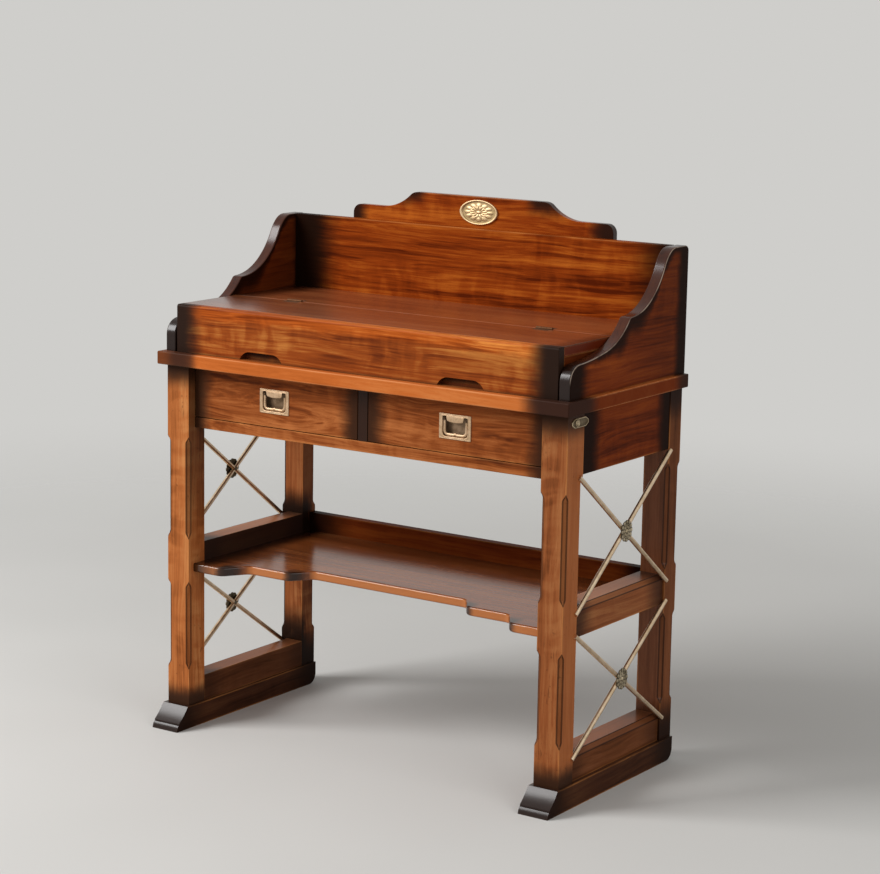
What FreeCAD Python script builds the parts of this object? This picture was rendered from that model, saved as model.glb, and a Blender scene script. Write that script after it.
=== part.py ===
import FreeCAD, Part
import math
import os

# A campaign desk: two sledge-footed end frames with brass cross braces carry a shelf, a case of two
# drawers and a waist board. Above it stand a gallery with S-curved sides, a fixed rear top and a lid
# that folds back. Millimetres, +Z up, +Y to the back, origin under the middle of the desk on the floor.

V = FreeCAD.Vector

# Headings in an outline, in degrees
AHEAD = 0.0
UP = 90.0
BACK = 180.0
DOWN = 270.0

# Waist board
board_width = 958.0
board_depth = 441.5
board_thickness = 26.0
board_top = 770.0
board_round = 2.5
side_overhang = 12.0
front_overhang = 18.5
rear_overhang = 3.0

# Legs and their stop chamfers
leg_width = 54.0
front_leg_depth = 49.0
head_swell = 8.0
head_ogee = 10.0
rear_leg_depth = 44.0
chamfer = 7.5
chamfer_above_bottom_rail = 20.0
chamfer_below_shelf = 17.0
chamfer_above_shelf_rail = 10.0
chamfer_below_apron = 27.0
tongue = 15.0
quirk_edge = 1.6
quirk_depth = 0.9

# Sledge feet
foot_width = 64.0
foot_height = 46.0
toe_reach = 25.5
toe_lip_height = 13.0
toe_lip_rake = 5.0
toe_lip_belly = 1.0
toe_bead = 3.5
toe_bead_step = 2.0
toe_flat = 10.0
toe_cove_sag = 1.0
heel_round = 22.0

# Rails, aprons and shelf
rail_inset = 4.5
bottom_rail_height = 54.0
shelf_top = 340.0
shelf_thickness = 18.0
shelf_round = 4.0
shelf_rail_rise = 40.0
rail_chamfer = 9.0
shelf_back_thickness = 20.0
shelf_front_set = 14.5
shelf_second_step = 52.0
shelf_centre_step = 44.0
shelf_end_length = 59.0
shelf_second_length = 74.0
shelf_first_ogee = 56.0
shelf_second_ogee = 52.0
shelf_ogee_heading = 122.0
apron_inset = 1.0
apron_thickness = 23.0
apron_height = 116.0

# Brass braces and rosettes
brace_radius = 4.5
brace_proud = 0.5
brace_lap = 6.0
brace_below_apron = 2.0
brace_below_shelf_rail = 12.0
brace_above_shelf_rail_foot = 7.0
brace_below_bottom_rail = 8.0
brace_fit = 0.1
rosette_radius = 21.0
rosette_thickness = 2.0
rosette_dome = 1.8
rosette_lobes = 12
scallop_radius = 4.0
scallop_depth = 1.5
rivet_radius = 2.0
rivet_head_radius = 4.0
rivet_head_thickness = 1.5

# Drawer case and drawers
case_front_set = 19.0
case_floor_thickness = 21.0
drawer_bay_height = 105.0
case_back_thickness = 20.0
case_back_inset = 4.5
partition_thickness = 22.0
drawer_gap = 1.5
drawer_run_gap = 0.5
drawer_front_thickness = 20.0
drawer_side_thickness = 12.0
drawer_side_headroom = 18.5
drawer_back_thickness = 12.0
drawer_rear_gap = 16.5
drawer_bottom_thickness = 6.0
drawer_bottom_rise = 8.0

# Flush pulls
plate_side_border = 7.5
plate_end_border = 5.0
plate_thickness = 2.0
pan_width = 56.0
pan_height = 38.0
pan_depth = 13.0
pan_wall = 1.5
pan_fit = 0.2
lip_side_gap = 2.0
lip_shoulder = 8.5
lip_drop = 11.0
lip_thickness = 1.6
bail_radius = 3.0
bail_side_room = 3.6
bail_foot_room = 3.6
bail_set = 3.5
bail_head_room = 4.5
trunnion_radius = 2.0
trunnion_end_gap = 0.2
pin_clearance = 0.05

# Gallery
gallery_height = 247.0
gallery_thickness = 24.0
gallery_inset = 9.0
gallery_front_set = 17.5
gallery_round = 3.0
gallery_back_thickness = 20.0
nose_height = 32.0
nose_radius = 32.0
brow_heading = 3.0
riser_set = 16.0
riser_lift = 32.0
riser_heading = 51.0
ledge_set = 25.5
ledge_lift = 35.8
ledge_heading = 3.0
neck_set = 91.0
neck_drop = 33.5
neck_heading = 64.0
crown_flat = 48.0
crown_back_round = 11.0

# Crest board and medallion
crest_end_set = 135.0
crest_thickness = 15.0
crest_lap = 87.0
crest_shoulder = 28.5
crest_peak = 62.0
crest_end_round = 18.0
crest_shoulder_run = 75.0
crest_ogee = 86.0
crest_knee_set = 18.0
crest_knee_drop = 6.5
crest_knee_heading = 137.0
medallion_width = 92.0
medallion_height = 52.0
medallion_thickness = 4.0
medallion_rim = 5.0
medallion_dish = 1.2
medallion_boss_share = 0.33
medallion_lift = 31.0

# Lid and fixed rear top
lid_height = 95.0
fold_clearance = 9.0
lid_front_set = 2.0
lid_side_gap = 2.5
lid_floor_gap = 0.5
lid_top_thickness = 18.0
lid_front_thickness = 18.0
lid_front_round = 5.0
cheek_thickness = 16.0
hinge_gap = 1.5
scoop_width = 104.0
scoop_height = 16.0
scoop_depth = 12.0
scoop_run = 24.0
scoop_heading = 65.0
scoop_end_set = 210.5

# Butt hinges, let in flush with the lid
hinge_end_set = 148.5
leaf_length = 36.0
leaf_depth = 20.0
leaf_thickness = 2.0
leaf_fit = 0.05
hinge_axis_rise = 1.0
barrel_radius = 2.6
barrel_clearance = 0.8
pin_radius = 1.1
knuckle_gap = 0.4

# Brass plate on the right front leg
badge_length = 56.0
badge_height = 18.0
badge_thickness = 2.5
badge_corner = 9.0
badge_corner_rise = 6.0
badge_front_set = 13.0
badge_drop = 8.0
badge_boss_radius = 6.5
badge_boss_set = 18.0
badge_boss_rise = 1.0

# Softened arris on every board
ease = 1.2

# Levels
board_bottom = board_top - board_thickness
bottom_rail_top = foot_height + bottom_rail_height
shelf_bottom = shelf_top - shelf_thickness
shelf_rail_top = shelf_top + shelf_rail_rise
apron_bottom = board_bottom - apron_height
case_floor_top = board_bottom - drawer_bay_height
case_floor_bottom = case_floor_top - case_floor_thickness
lid_top_level = board_top + lid_height
lid_under = lid_top_level - lid_top_thickness
gallery_top = board_top + gallery_height

# Planes from front to back
overall_depth = board_depth + toe_reach
toe_tip = -overall_depth / 2
back_plane = overall_depth / 2
board_front = back_plane - board_depth
leg_front = board_front + front_overhang
front_leg_back = leg_front + front_leg_depth
front_head_back = front_leg_back + head_swell
leg_rear = back_plane - rear_overhang
rear_leg_front = leg_rear - rear_leg_depth
case_front = leg_front + case_front_set
case_back_rear = leg_rear - case_back_inset
case_back_front = case_back_rear - case_back_thickness
drawer_rear = case_back_front - drawer_rear_gap
shelf_back_front = leg_rear - shelf_back_thickness
gallery_front = board_front + gallery_front_set
gallery_back_rear = back_plane - crest_thickness
gallery_back_front = gallery_back_rear - gallery_back_thickness
lid_front_face = gallery_front + lid_front_set
lid_depth = (gallery_back_front - lid_front_face - fold_clearance) / 2
hinge_line = lid_front_face + lid_depth

# Planes from the middle outwards
leg_outer = board_width / 2 - side_overhang
leg_inner = leg_outer - leg_width
leg_middle = (leg_outer + leg_inner) / 2
rail_outer = leg_outer - rail_inset
brace_plane = leg_outer + brace_proud
gallery_outer = board_width / 2 - gallery_inset
gallery_inner = gallery_outer - gallery_thickness
lid_half_width = gallery_inner - lid_side_gap
hinge_centre = lid_half_width - hinge_end_set
scoop_centre = lid_half_width - scoop_end_set
crest_half = gallery_inner - crest_end_set

os.makedirs("parts", exist_ok=True)


def save(node, shape):
    shape.exportStep("parts/" + node + ".step")


def mirrored(shape):
    return shape.mirror(V(0, 0, 0), V(1, 0, 0))


def save_pair(name, right):
    save("right_" + name, right)
    save("left_" + name, mirrored(right))


def block(x, y, z):
    return Part.makeBox(x[1] - x[0], y[1] - y[0], z[1] - z[0], V(x[0], y[0], z[0]))


def board(x, y, z, radius=ease):
    plain = block(x, y, z)
    return plain.makeFillet(radius, plain.Edges)


def edges_where(shape, test):
    chosen = []
    for edge in shape.Edges:
        middle = edge.valueAt((edge.FirstParameter + edge.LastParameter) / 2)
        if test(middle):
            chosen.append(edge)
    return chosen


def face_of(start, steps, place):
    """Face inside an outline; a step is (end,) for a straight run or (middle, end) for an arc."""
    edges = []
    here = start
    for step in steps:
        end = step[-1]
        if len(step) == 1:
            edges.append(Part.LineSegment(place(here), place(end)).toShape())
        else:
            edges.append(Part.Arc(place(here), place(step[0]), place(end)).toShape())
        here = end
    edges.append(Part.LineSegment(place(here), place(start)).toShape())
    return Part.Face(Part.Wire(edges))


def heading(degrees):
    return V(math.cos(math.radians(degrees)), math.sin(math.radians(degrees)), 0)


def bulge(a, b, leaving):
    """Middle point of the arc from a to b that leaves a in the given direction."""
    chord = b - a
    bend = math.atan2(chord.x * leaving.y - chord.y * leaving.x, chord.dot(leaving))
    return (a + b) * 0.5 + V(-chord.y, chord.x, 0) * (math.tan(bend / 2) / 2)


def sweep(p, leave, q, arrive):
    """Two arcs that meet smoothly on the way from p to q; the headings at both ends are in degrees."""
    start = V(p[0], p[1], 0)
    end = V(q[0], q[1], 0)
    first = heading(leave)
    last = heading(arrive)
    chord = end - start
    square = chord.dot(chord)
    forward = chord.dot(first + last)
    turn = 1 - first.dot(last)
    if leave == arrive:
        reach = square / (2 * forward)
    else:
        reach = (math.sqrt(forward * forward + 2 * turn * square) - forward) / (2 * turn)
    joint = (start + end + (first - last) * reach) * 0.5
    return [(bulge(start, joint, first), joint), (bulge(end, joint, last * -1), end)]


def ogee(p, q, steep):
    """S-curve from p to q that runs level at both ends and passes its middle at a steep heading."""
    middle = ((p[0] + q[0]) / 2, (p[1] + q[1]) / 2)
    return sweep(p, BACK, middle, steep) + sweep(middle, steep, q, BACK)


def side_view(x):
    return lambda point: V(x, point[0], point[1])


def front_view(y):
    return lambda point: V(point[0], y, point[1])


def plan_view(z):
    return lambda point: V(point[0], point[1], z)


def chamfer_cutter(corner, inward, zone, depth, half_width):
    """Cutter for one stop chamfer: a flat across the corner that dies out in a lamb's tongue at each end."""
    share = math.sqrt(0.5)
    deep = V(inward[0] * share, inward[1] * share, 0)
    across = V(-inward[1] * share, inward[0] * share, 0)
    low, high = zone
    outside = -chamfer

    def place(point):
        return V(corner[0], corner[1], point[1]) + deep * point[0] - across * half_width

    steps = sweep((0, low), UP, (depth, low + tongue), UP)
    steps.append(((depth, high - tongue),))
    steps += sweep((depth, high - tongue), UP, (0, high), UP)
    steps.append(((outside, high),))
    steps.append(((outside, low),))
    return face_of((0, low), steps, place).extrude(across * (2 * half_width))


def chamfered(leg, corners):
    """Leg with both zones of each listed corner chamfered and a sunk quirk along the flat."""
    depth = chamfer * math.sqrt(0.5)
    zones = [
        (bottom_rail_top + chamfer_above_bottom_rail, shelf_bottom - chamfer_below_shelf),
        (shelf_rail_top + chamfer_above_shelf_rail, apron_bottom - chamfer_below_apron),
    ]
    for corner, inward in corners:
        for zone in zones:
            leg = leg.cut(chamfer_cutter(corner, inward, zone, depth, 2 * chamfer))
            sunk = chamfer_cutter(corner, inward, zone, depth + quirk_depth, depth - quirk_edge)
            leg = leg.cut(sunk)
    return leg


def brace_ends():
    """Front and rear end heights of the braces: (name, low, high) for each bay."""
    upper = ("upper", shelf_rail_top - brace_below_shelf_rail, apron_bottom - brace_below_apron)
    lower_high = shelf_bottom + brace_above_shelf_rail_foot
    lower = ("lower", bottom_rail_top - brace_below_bottom_rail, lower_high)
    return [upper, lower]


def brace_points(low, high):
    front = front_leg_back - brace_lap
    rear = rear_leg_front + brace_lap
    fore = (V(brace_plane, front, high), V(brace_plane, rear, low))
    aft = (V(brace_plane, front, low), V(brace_plane, rear, high))
    return fore, aft


def rod(ends, radius, extra=0.0):
    along = (ends[1] - ends[0]).normalize()
    length = ends[0].distanceToPoint(ends[1]) + 2 * extra
    return Part.makeCylinder(radius, length, ends[0] - along * extra, along)


def with_brace_sockets(leg):
    for _, low, high in brace_ends():
        for ends in brace_points(low, high):
            leg = leg.cut(rod(ends, brace_radius + brace_fit, brace_fit))
    return leg


def make_front_leg():
    start = (leg_front, foot_height)
    shank = (front_leg_back, apron_bottom - head_ogee)
    steps = [((leg_front, board_bottom),), ((front_head_back, board_bottom),)]
    steps.append(((front_head_back, apron_bottom),))
    steps += sweep((front_head_back, apron_bottom), DOWN, shank, DOWN)
    steps.append(((front_leg_back, foot_height),))
    leg = face_of(start, steps, side_view(leg_inner)).extrude(V(leg_width, 0, 0))
    corners = [((leg_outer, leg_front), (-1, 1)), ((leg_inner, leg_front), (1, 1))]
    return with_brace_sockets(chamfered(leg, corners))


def make_rear_leg():
    leg = block((leg_inner, leg_outer), (rear_leg_front, leg_rear), (foot_height, board_bottom))
    corners = [
        ((leg_outer, rear_leg_front), (-1, 1)),
        ((leg_outer, leg_rear), (-1, -1)),
        ((leg_inner, leg_rear), (1, -1)),
    ]
    return with_brace_sockets(chamfered(leg, corners))


def make_foot():
    lip_top = (toe_tip + toe_lip_rake, toe_lip_height)
    lip_middle = (toe_tip + toe_lip_rake / 2 - toe_lip_belly, toe_lip_height / 2)
    bead_foot = (lip_top[0] + toe_bead_step, toe_lip_height)
    bead_top = (bead_foot[0], toe_lip_height + toe_bead)
    cove_top = (leg_front - toe_flat, foot_height)
    cove_middle = (
        (bead_top[0] + cove_top[0]) / 2 + toe_cove_sag,
        (bead_top[1] + cove_top[1]) / 2 - toe_cove_sag,
    )
    steps = [(lip_middle, lip_top), (bead_foot,), (bead_top,), (cove_middle, cove_top)]
    steps += [((leg_rear, foot_height),), ((leg_rear, heel_round),)]
    steps += sweep((leg_rear, heel_round), DOWN, (leg_rear - heel_round, 0), BACK)
    inner = leg_middle - foot_width / 2
    return face_of((toe_tip, 0), steps, side_view(inner)).extrude(V(foot_width, 0, 0))


def make_rail(low, high):
    rail = block((leg_inner, rail_outer), (front_leg_back, rear_leg_front), (low, high))

    def outer_top(point):
        return point.z > high - ease and point.x > rail_outer - ease

    return rail.makeChamfer(rail_chamfer, edges_where(rail, outer_top))


def make_apron():
    outer = leg_outer - apron_inset
    length = (front_head_back, rear_leg_front)
    return board((outer - apron_thickness, outer), length, (apron_bottom, board_bottom))


def halved_brace(ends, other, keeps_inside, centre):
    """One brace rod, halved where it crosses the other and bored for the rosette's rivet."""
    shape = rod(ends, brace_radius)
    along = (other[1] - other[0]).normalize()
    angle = math.degrees(math.atan2(along.z, along.y))
    reach = 4 * brace_radius
    width = 2 * (brace_radius + brace_fit)
    depth = brace_radius + brace_fit + brace_fit / 2
    start = centre.x - brace_fit / 2 if keeps_inside else centre.x + brace_fit / 2 - depth
    notch = Part.makeBox(depth, 2 * reach, width, V(start, centre.y - reach, centre.z - width / 2))
    notch.rotate(centre, V(1, 0, 0), angle)
    bore_start = V(centre.x - 2 * brace_radius, centre.y, centre.z)
    bore = Part.makeCylinder(rivet_radius + brace_fit, 4 * brace_radius, bore_start, V(1, 0, 0))
    return shape.cut(notch).cut(bore)


def make_rosette(centre):
    """Lobed disc, domed on the outside of the crossing, on a rivet headed over on the inside."""
    inside = centre.x - brace_radius
    outside = centre.x + brace_radius
    rim = outside + rosette_thickness
    top = rim + rosette_dome
    head = inside - rivet_head_thickness
    steps = [((head, rivet_head_radius),), ((inside, rivet_head_radius),), ((inside, rivet_radius),)]
    steps += [((outside, rivet_radius),), ((outside, rosette_radius),), ((rim, rosette_radius),)]
    dome_radius = (rosette_radius ** 2 + rosette_dome ** 2) / (2 * rosette_dome)
    half_angle = math.asin(rosette_radius / dome_radius) / 2
    shoulder = (top - dome_radius * (1 - math.cos(half_angle)), dome_radius * math.sin(half_angle))
    steps.append((shoulder, (top, 0)))

    def place(point):
        return V(point[0], centre.y, centre.z + point[1])

    rosette = face_of((head, 0), steps, place).revolve(centre, V(1, 0, 0), 360)
    reach = rosette_radius + scallop_radius - scallop_depth
    for number in range(rosette_lobes):
        turn = 2 * math.pi * number / rosette_lobes
        across = reach * math.cos(turn)
        start = V(outside - rosette_dome, centre.y + across, centre.z + reach * math.sin(turn))
        length = top - outside + 2 * rosette_dome
        rosette = rosette.cut(Part.makeCylinder(scallop_radius, length, start, V(1, 0, 0)))
    return rosette


def shelf_front_points():
    """Corners of the right half of the shelf's front edge, from the leg to the middle."""
    front = leg_front + shelf_front_set
    second = front + shelf_second_step
    centre = second + shelf_centre_step
    end_stop = leg_inner - shelf_end_length
    second_start = end_stop - shelf_first_ogee
    second_stop = second_start - shelf_second_length
    centre_start = second_stop - shelf_second_ogee
    return front, second, centre, end_stop, second_start, second_stop, centre_start


def make_shelf():
    front, second, centre, end_stop, second_start, second_stop, centre_start = shelf_front_points()
    right = [((leg_inner, front),), ((end_stop, front),)]
    right += ogee((end_stop, front), (second_start, second), shelf_ogee_heading)
    right.append(((second_stop, second),))
    right += ogee((second_stop, second), (centre_start, centre), shelf_ogee_heading)
    left = [((-centre_start, centre),)]
    left += ogee((-centre_start, centre), (-second_stop, second), -shelf_ogee_heading)
    left.append(((-second_start, second),))
    left += ogee((-second_start, second), (-end_stop, front), -shelf_ogee_heading)
    left += [((-leg_inner, front),), ((-leg_inner, shelf_back_front),)]
    outline = face_of((leg_inner, shelf_back_front), right + left, plan_view(shelf_bottom))
    shelf = outline.extrude(V(0, 0, shelf_thickness))

    def front_arris(point):
        flat = abs(point.z - shelf_top) < ease or abs(point.z - shelf_bottom) < ease
        return flat and point.y < centre + ease and abs(point.x) < leg_inner - ease

    return shelf.makeFillet(shelf_round, edges_where(shelf, front_arris))


def make_shelf_back():
    return board((-leg_inner, leg_inner), (shelf_back_front, leg_rear), (shelf_bottom, shelf_rail_top))


def make_case_floor():
    height = (case_floor_bottom, case_floor_top)
    return board((-leg_inner, leg_inner), (case_front, case_back_front), height)


def make_case_back():
    height = (case_floor_bottom, board_bottom)
    return board((-leg_inner, leg_inner), (case_back_front, case_back_rear), height)


def make_partition():
    half = partition_thickness / 2
    return board((-half, half), (case_front, case_back_front), (case_floor_top, board_bottom))


def make_waist_board():
    half = board_width / 2
    return board((-half, half), (board_front, back_plane), (board_bottom, board_top), board_round)


def gallery_curve():
    """S-curved front edge of a gallery side, from the nose up to the flat of the crown."""
    nose = (gallery_front, board_top + nose_height)
    stations = [
        (nose, UP),
        ((nose[0] + nose_radius, nose[1] + nose_radius), brow_heading),
        ((hinge_line + riser_set, lid_top_level + riser_lift), riser_heading),
        ((hinge_line + ledge_set, lid_top_level + ledge_lift), ledge_heading),
        ((back_plane - neck_set, gallery_top - neck_drop), neck_heading),
        ((back_plane - crown_flat, gallery_top), AHEAD),
    ]
    steps = [(nose,)]
    for (p, leave), (q, arrive) in zip(stations, stations[1:]):
        steps += sweep(p, leave, q, arrive)
    return steps


def make_gallery_side():
    turn_start = (back_plane - crown_back_round, gallery_top)
    turn_end = (back_plane, gallery_top - crown_back_round)
    steps = gallery_curve() + [(turn_start,)] + sweep(turn_start, AHEAD, turn_end, DOWN)
    steps.append(((back_plane, board_top),))
    outline = face_of((gallery_front, board_top), steps, side_view(gallery_inner))
    side = outline.extrude(V(gallery_thickness, 0, 0))

    def curved_edge(point):
        on_face = abs(point.x - gallery_inner) < ease or abs(point.x - gallery_outer) < ease
        return on_face and point.z > board_top + ease and point.y < back_plane - ease

    return side.makeFillet(gallery_round, edges_where(side, curved_edge))


def make_gallery_back():
    across = (-gallery_inner, gallery_inner)
    return board(across, (gallery_back_front, gallery_back_rear), (board_top, gallery_top))


def make_crest():
    half = crest_half
    low = gallery_top - crest_lap
    shoulder = gallery_top + crest_shoulder
    peak = gallery_top + crest_peak
    peak_half = half - crest_shoulder_run - crest_ogee
    knee_half = peak_half + crest_knee_set
    knee_level = peak - crest_knee_drop
    right = [((half, shoulder - crest_end_round),)]
    right += sweep((half, shoulder - crest_end_round), UP, (half - crest_end_round, shoulder), BACK)
    right.append(((peak_half + crest_ogee, shoulder),))
    right += sweep((peak_half + crest_ogee, shoulder), BACK, (knee_half, knee_level), crest_knee_heading)
    right += sweep((knee_half, knee_level), crest_knee_heading, (peak_half, peak), BACK)
    left = [((-peak_half, peak),)]
    left += sweep((-peak_half, peak), BACK, (-knee_half, knee_level), -crest_knee_heading)
    left += sweep((-knee_half, knee_level), -crest_knee_heading, (-peak_half - crest_ogee, shoulder), BACK)
    left.append(((-half + crest_end_round, shoulder),))
    left += sweep((-half + crest_end_round, shoulder), BACK, (-half, shoulder - crest_end_round), DOWN)
    left.append(((-half, low),))
    face = face_of((half, low), right + left, front_view(gallery_back_rear))
    crest = face.extrude(V(0, crest_thickness, 0))

    def upper_arris(point):
        on_face = min(point.y - gallery_back_rear, back_plane - point.y) < ease
        return on_face and point.z > low + ease

    return crest.makeFillet(ease, edges_where(crest, upper_arris))


def ellipse_disc(width, height, y_front, y_back, z):
    """Oval disc lying against a vertical face."""
    curve = Part.Ellipse(V(0, y_front, z), width / 2, height / 2)
    turned = curve.toShape()
    turned.rotate(V(0, y_front, z), V(1, 0, 0), 90)
    return Part.Face(Part.Wire([turned])).extrude(V(0, y_back - y_front, 0))


def make_medallion():
    z = gallery_top + medallion_lift
    front = gallery_back_rear - medallion_thickness
    disc = ellipse_disc(medallion_width, medallion_height, front, gallery_back_rear, z)
    inner_width = medallion_width - 2 * medallion_rim
    inner_height = medallion_height - 2 * medallion_rim
    dish = ellipse_disc(inner_width, inner_height, front - ease, front + medallion_dish, z)
    boss_width = inner_width * medallion_boss_share
    boss_height = inner_height * medallion_boss_share
    boss = ellipse_disc(boss_width, boss_height, front, front + medallion_dish, z)
    return disc.cut(dish).fuse(boss).removeSplitter()


def leaf_pocket(centre, y):
    """Room for a hinge leaf and the half barrel beside it, sunk in a board's upper face."""
    half = leaf_length / 2 + leaf_fit
    low = lid_top_level - leaf_thickness - leaf_fit
    return block((centre - half, centre + half), y, (low, lid_top_level + barrel_radius))


def with_leaf_pockets(shape, y):
    for centre in (-hinge_centre, hinge_centre):
        shape = shape.cut(leaf_pocket(centre, y))
    return shape


def make_rear_top():
    front = hinge_line + hinge_gap / 2
    across = (-gallery_inner, gallery_inner)
    top = board(across, (front, gallery_back_front), (lid_under, lid_top_level))
    return with_leaf_pockets(top, (hinge_line, hinge_line + leaf_depth + leaf_fit))


def make_lid_top():
    rear = hinge_line - hinge_gap / 2
    across = (-lid_half_width, lid_half_width)
    top = board(across, (lid_front_face + lid_front_thickness, rear), (lid_under, lid_top_level))
    return with_leaf_pockets(top, (hinge_line - leaf_depth - leaf_fit, hinge_line))


def scoop_cutter(centre, low):
    """Finger scoop sunk in the face of the lid's lower edge: a flat top rounded down at each end."""
    half = scoop_width / 2
    top = low + scoop_height
    start = (centre - half, low - ease)
    steps = [((centre - half, low),)]
    steps += sweep((centre - half, low), scoop_heading, (centre - half + scoop_run, top), AHEAD)
    steps.append(((centre + half - scoop_run, top),))
    steps += sweep((centre + half - scoop_run, top), AHEAD, (centre + half, low), -scoop_heading)
    steps.append(((centre + half, low - ease),))
    return face_of(start, steps, front_view(lid_front_face)).extrude(V(0, scoop_depth, 0))


def make_lid_front():
    low = board_top + lid_floor_gap
    across = (-lid_half_width, lid_half_width)
    front = block(across, (lid_front_face, lid_front_face + lid_front_thickness), (low, lid_top_level))

    def top_front(point):
        return point.z > lid_top_level - ease and point.y < lid_front_face + ease

    def front_end(point):
        return abs(point.x) > lid_half_width - ease and point.y < lid_front_face + ease

    front = front.makeFillet(lid_front_round, edges_where(front, top_front))
    front = front.makeFillet(ease, edges_where(front, front_end))
    for centre in (-scoop_centre, scoop_centre):
        front = front.cut(scoop_cutter(centre, low))
    return front


def make_lid_cheek():
    across = (lid_half_width - cheek_thickness, lid_half_width)
    along = (lid_front_face + lid_front_thickness, hinge_line - hinge_gap / 2)
    return board(across, along, (board_top + lid_floor_gap, lid_under))


def hinge_leaf(side):
    """Leaf of the right hinge. Side -1 is the lid's leaf with the middle knuckle, +1 the fixed one."""
    axis_z = lid_top_level + hinge_axis_rise
    low = lid_top_level - leaf_thickness
    half = leaf_length / 2
    third = leaf_length / 6
    inner = barrel_radius + barrel_clearance
    if side < 0:
        spans = [(-third + knuckle_gap / 2, third - knuckle_gap / 2)]
    else:
        spans = [(-half, -third - knuckle_gap / 2), (third + knuckle_gap / 2, half)]
    ends = sorted((hinge_line + side * inner, hinge_line + side * leaf_depth))
    leaf = block((hinge_centre - half, hinge_centre + half), ends, (low, lid_top_level))
    for left, right in spans:
        start = V(hinge_centre + left, hinge_line, axis_z)
        knuckle = Part.makeCylinder(barrel_radius, right - left, start, V(1, 0, 0))
        web_y = sorted((hinge_line, hinge_line + side * inner))
        web = block((hinge_centre + left, hinge_centre + right), web_y, (low, lid_top_level))
        leaf = leaf.fuse(knuckle).fuse(web)
    pin_start = V(hinge_centre - half, hinge_line, axis_z)
    if side < 0:
        bore = Part.makeCylinder(pin_radius + pin_clearance, leaf_length, pin_start, V(1, 0, 0))
        return leaf.cut(bore).removeSplitter()
    pin = Part.makeCylinder(pin_radius, leaf_length, pin_start, V(1, 0, 0))
    return leaf.fuse(pin).removeSplitter()


def drawer_span():
    return partition_thickness / 2 + drawer_gap, leg_inner - drawer_gap


def pull_centre():
    near, far = drawer_span()
    return (near + far) / 2, (case_floor_top + board_bottom) / 2


def make_drawer_front():
    near, far = drawer_span()
    height = (case_floor_top + drawer_gap, board_bottom - drawer_gap)
    front = board((near, far), (case_front, case_front + drawer_front_thickness), height)
    x, z = pull_centre()
    half_x = pan_width / 2 + pan_wall + pan_fit
    half_z = pan_height / 2 + pan_wall + pan_fit
    deep = case_front - plate_thickness + pan_depth + pan_wall + pan_fit
    return front.cut(block((x - half_x, x + half_x), (case_front, deep), (z - half_z, z + half_z)))


def drawer_levels():
    low = case_floor_top + drawer_run_gap
    return low, board_bottom - drawer_side_headroom


def make_drawer_side(outer):
    near, far = drawer_span()
    across = (far - drawer_side_thickness, far) if outer else (near, near + drawer_side_thickness)
    along = (case_front + drawer_front_thickness, drawer_rear)
    return board(across, along, drawer_levels())


def drawer_inside():
    near, far = drawer_span()
    return near + drawer_side_thickness, far - drawer_side_thickness


def make_drawer_back():
    low, high = drawer_levels()
    along = (drawer_rear - drawer_back_thickness, drawer_rear)
    return board(drawer_inside(), along, (low + drawer_bottom_rise, high))


def make_drawer_bottom():
    along = (case_front + drawer_front_thickness, drawer_rear - drawer_back_thickness)
    low = drawer_levels()[0] + drawer_bottom_rise
    return block(drawer_inside(), along, (low, low + drawer_bottom_thickness))


def bail_axis():
    x, z = pull_centre()
    return x, case_front - plate_thickness + bail_set, z + pan_height / 2 - bail_head_room


def make_pull_plate():
    """Plate with a lobed lip over a sunk pan, bored in its end walls for the bail's trunnions."""
    x, z = pull_centre()
    face = case_front - plate_thickness
    half_x = pan_width / 2
    half_z = pan_height / 2
    plate_x = (x - half_x - plate_side_border, x + half_x + plate_side_border)
    plate_z = (z - half_z - plate_end_border, z + half_z + plate_end_border)
    plate = block(plate_x, (face, case_front), plate_z)
    outer_x = (x - half_x - pan_wall, x + half_x + pan_wall)
    outer_z = (z - half_z - pan_wall, z + half_z + pan_wall)
    pan = block(outer_x, (face, face + pan_depth + pan_wall), outer_z)
    hollow = block((x - half_x, x + half_x), (face, face + pan_depth), (z - half_z, z + half_z))
    lip_half = half_x - bail_side_room - bail_radius - lip_side_gap
    top = z + half_z
    left_shoulder = (x - lip_half, top - lip_shoulder)
    right_shoulder = (x + lip_half, top - lip_shoulder)
    lip_steps = [(left_shoulder,), ((x, top - lip_drop), right_shoulder), ((x + lip_half, top),)]
    lip_face = face_of((x - lip_half, top), lip_steps, front_view(face))
    lip = lip_face.extrude(V(0, lip_thickness, 0))
    axis_x, axis_y, axis_z = bail_axis()
    reach = half_x + pan_wall
    start = V(axis_x - reach, axis_y, axis_z)
    bore = Part.makeCylinder(trunnion_radius + pin_clearance, 2 * reach, start, V(1, 0, 0))
    return plate.fuse(pan).cut(hollow).cut(bore).fuse(lip).removeSplitter()


def make_bail():
    """U-shaped wire handle with a trunnion at the top of each arm."""
    x, y, z = bail_axis()
    half = pan_width / 2 - bail_side_room
    drop = pan_height - bail_head_room - bail_foot_room
    low = z - drop
    reach = pan_width / 2 + pan_wall - trunnion_end_gap
    bar = Part.makeCylinder(bail_radius, 2 * half, V(x - half, y, low), V(1, 0, 0))
    for side in (-1, 1):
        foot = V(x + side * half, y, low)
        top = V(x + side * half, y, z)
        bar = bar.fuse(Part.makeCylinder(bail_radius, drop, foot, V(0, 0, 1)))
        bar = bar.fuse(Part.makeSphere(bail_radius, foot))
        bar = bar.fuse(Part.makeSphere(bail_radius, top))
        bar = bar.fuse(Part.makeCylinder(trunnion_radius, reach - half, top, V(side, 0, 0)))
    return bar.removeSplitter()


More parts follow.
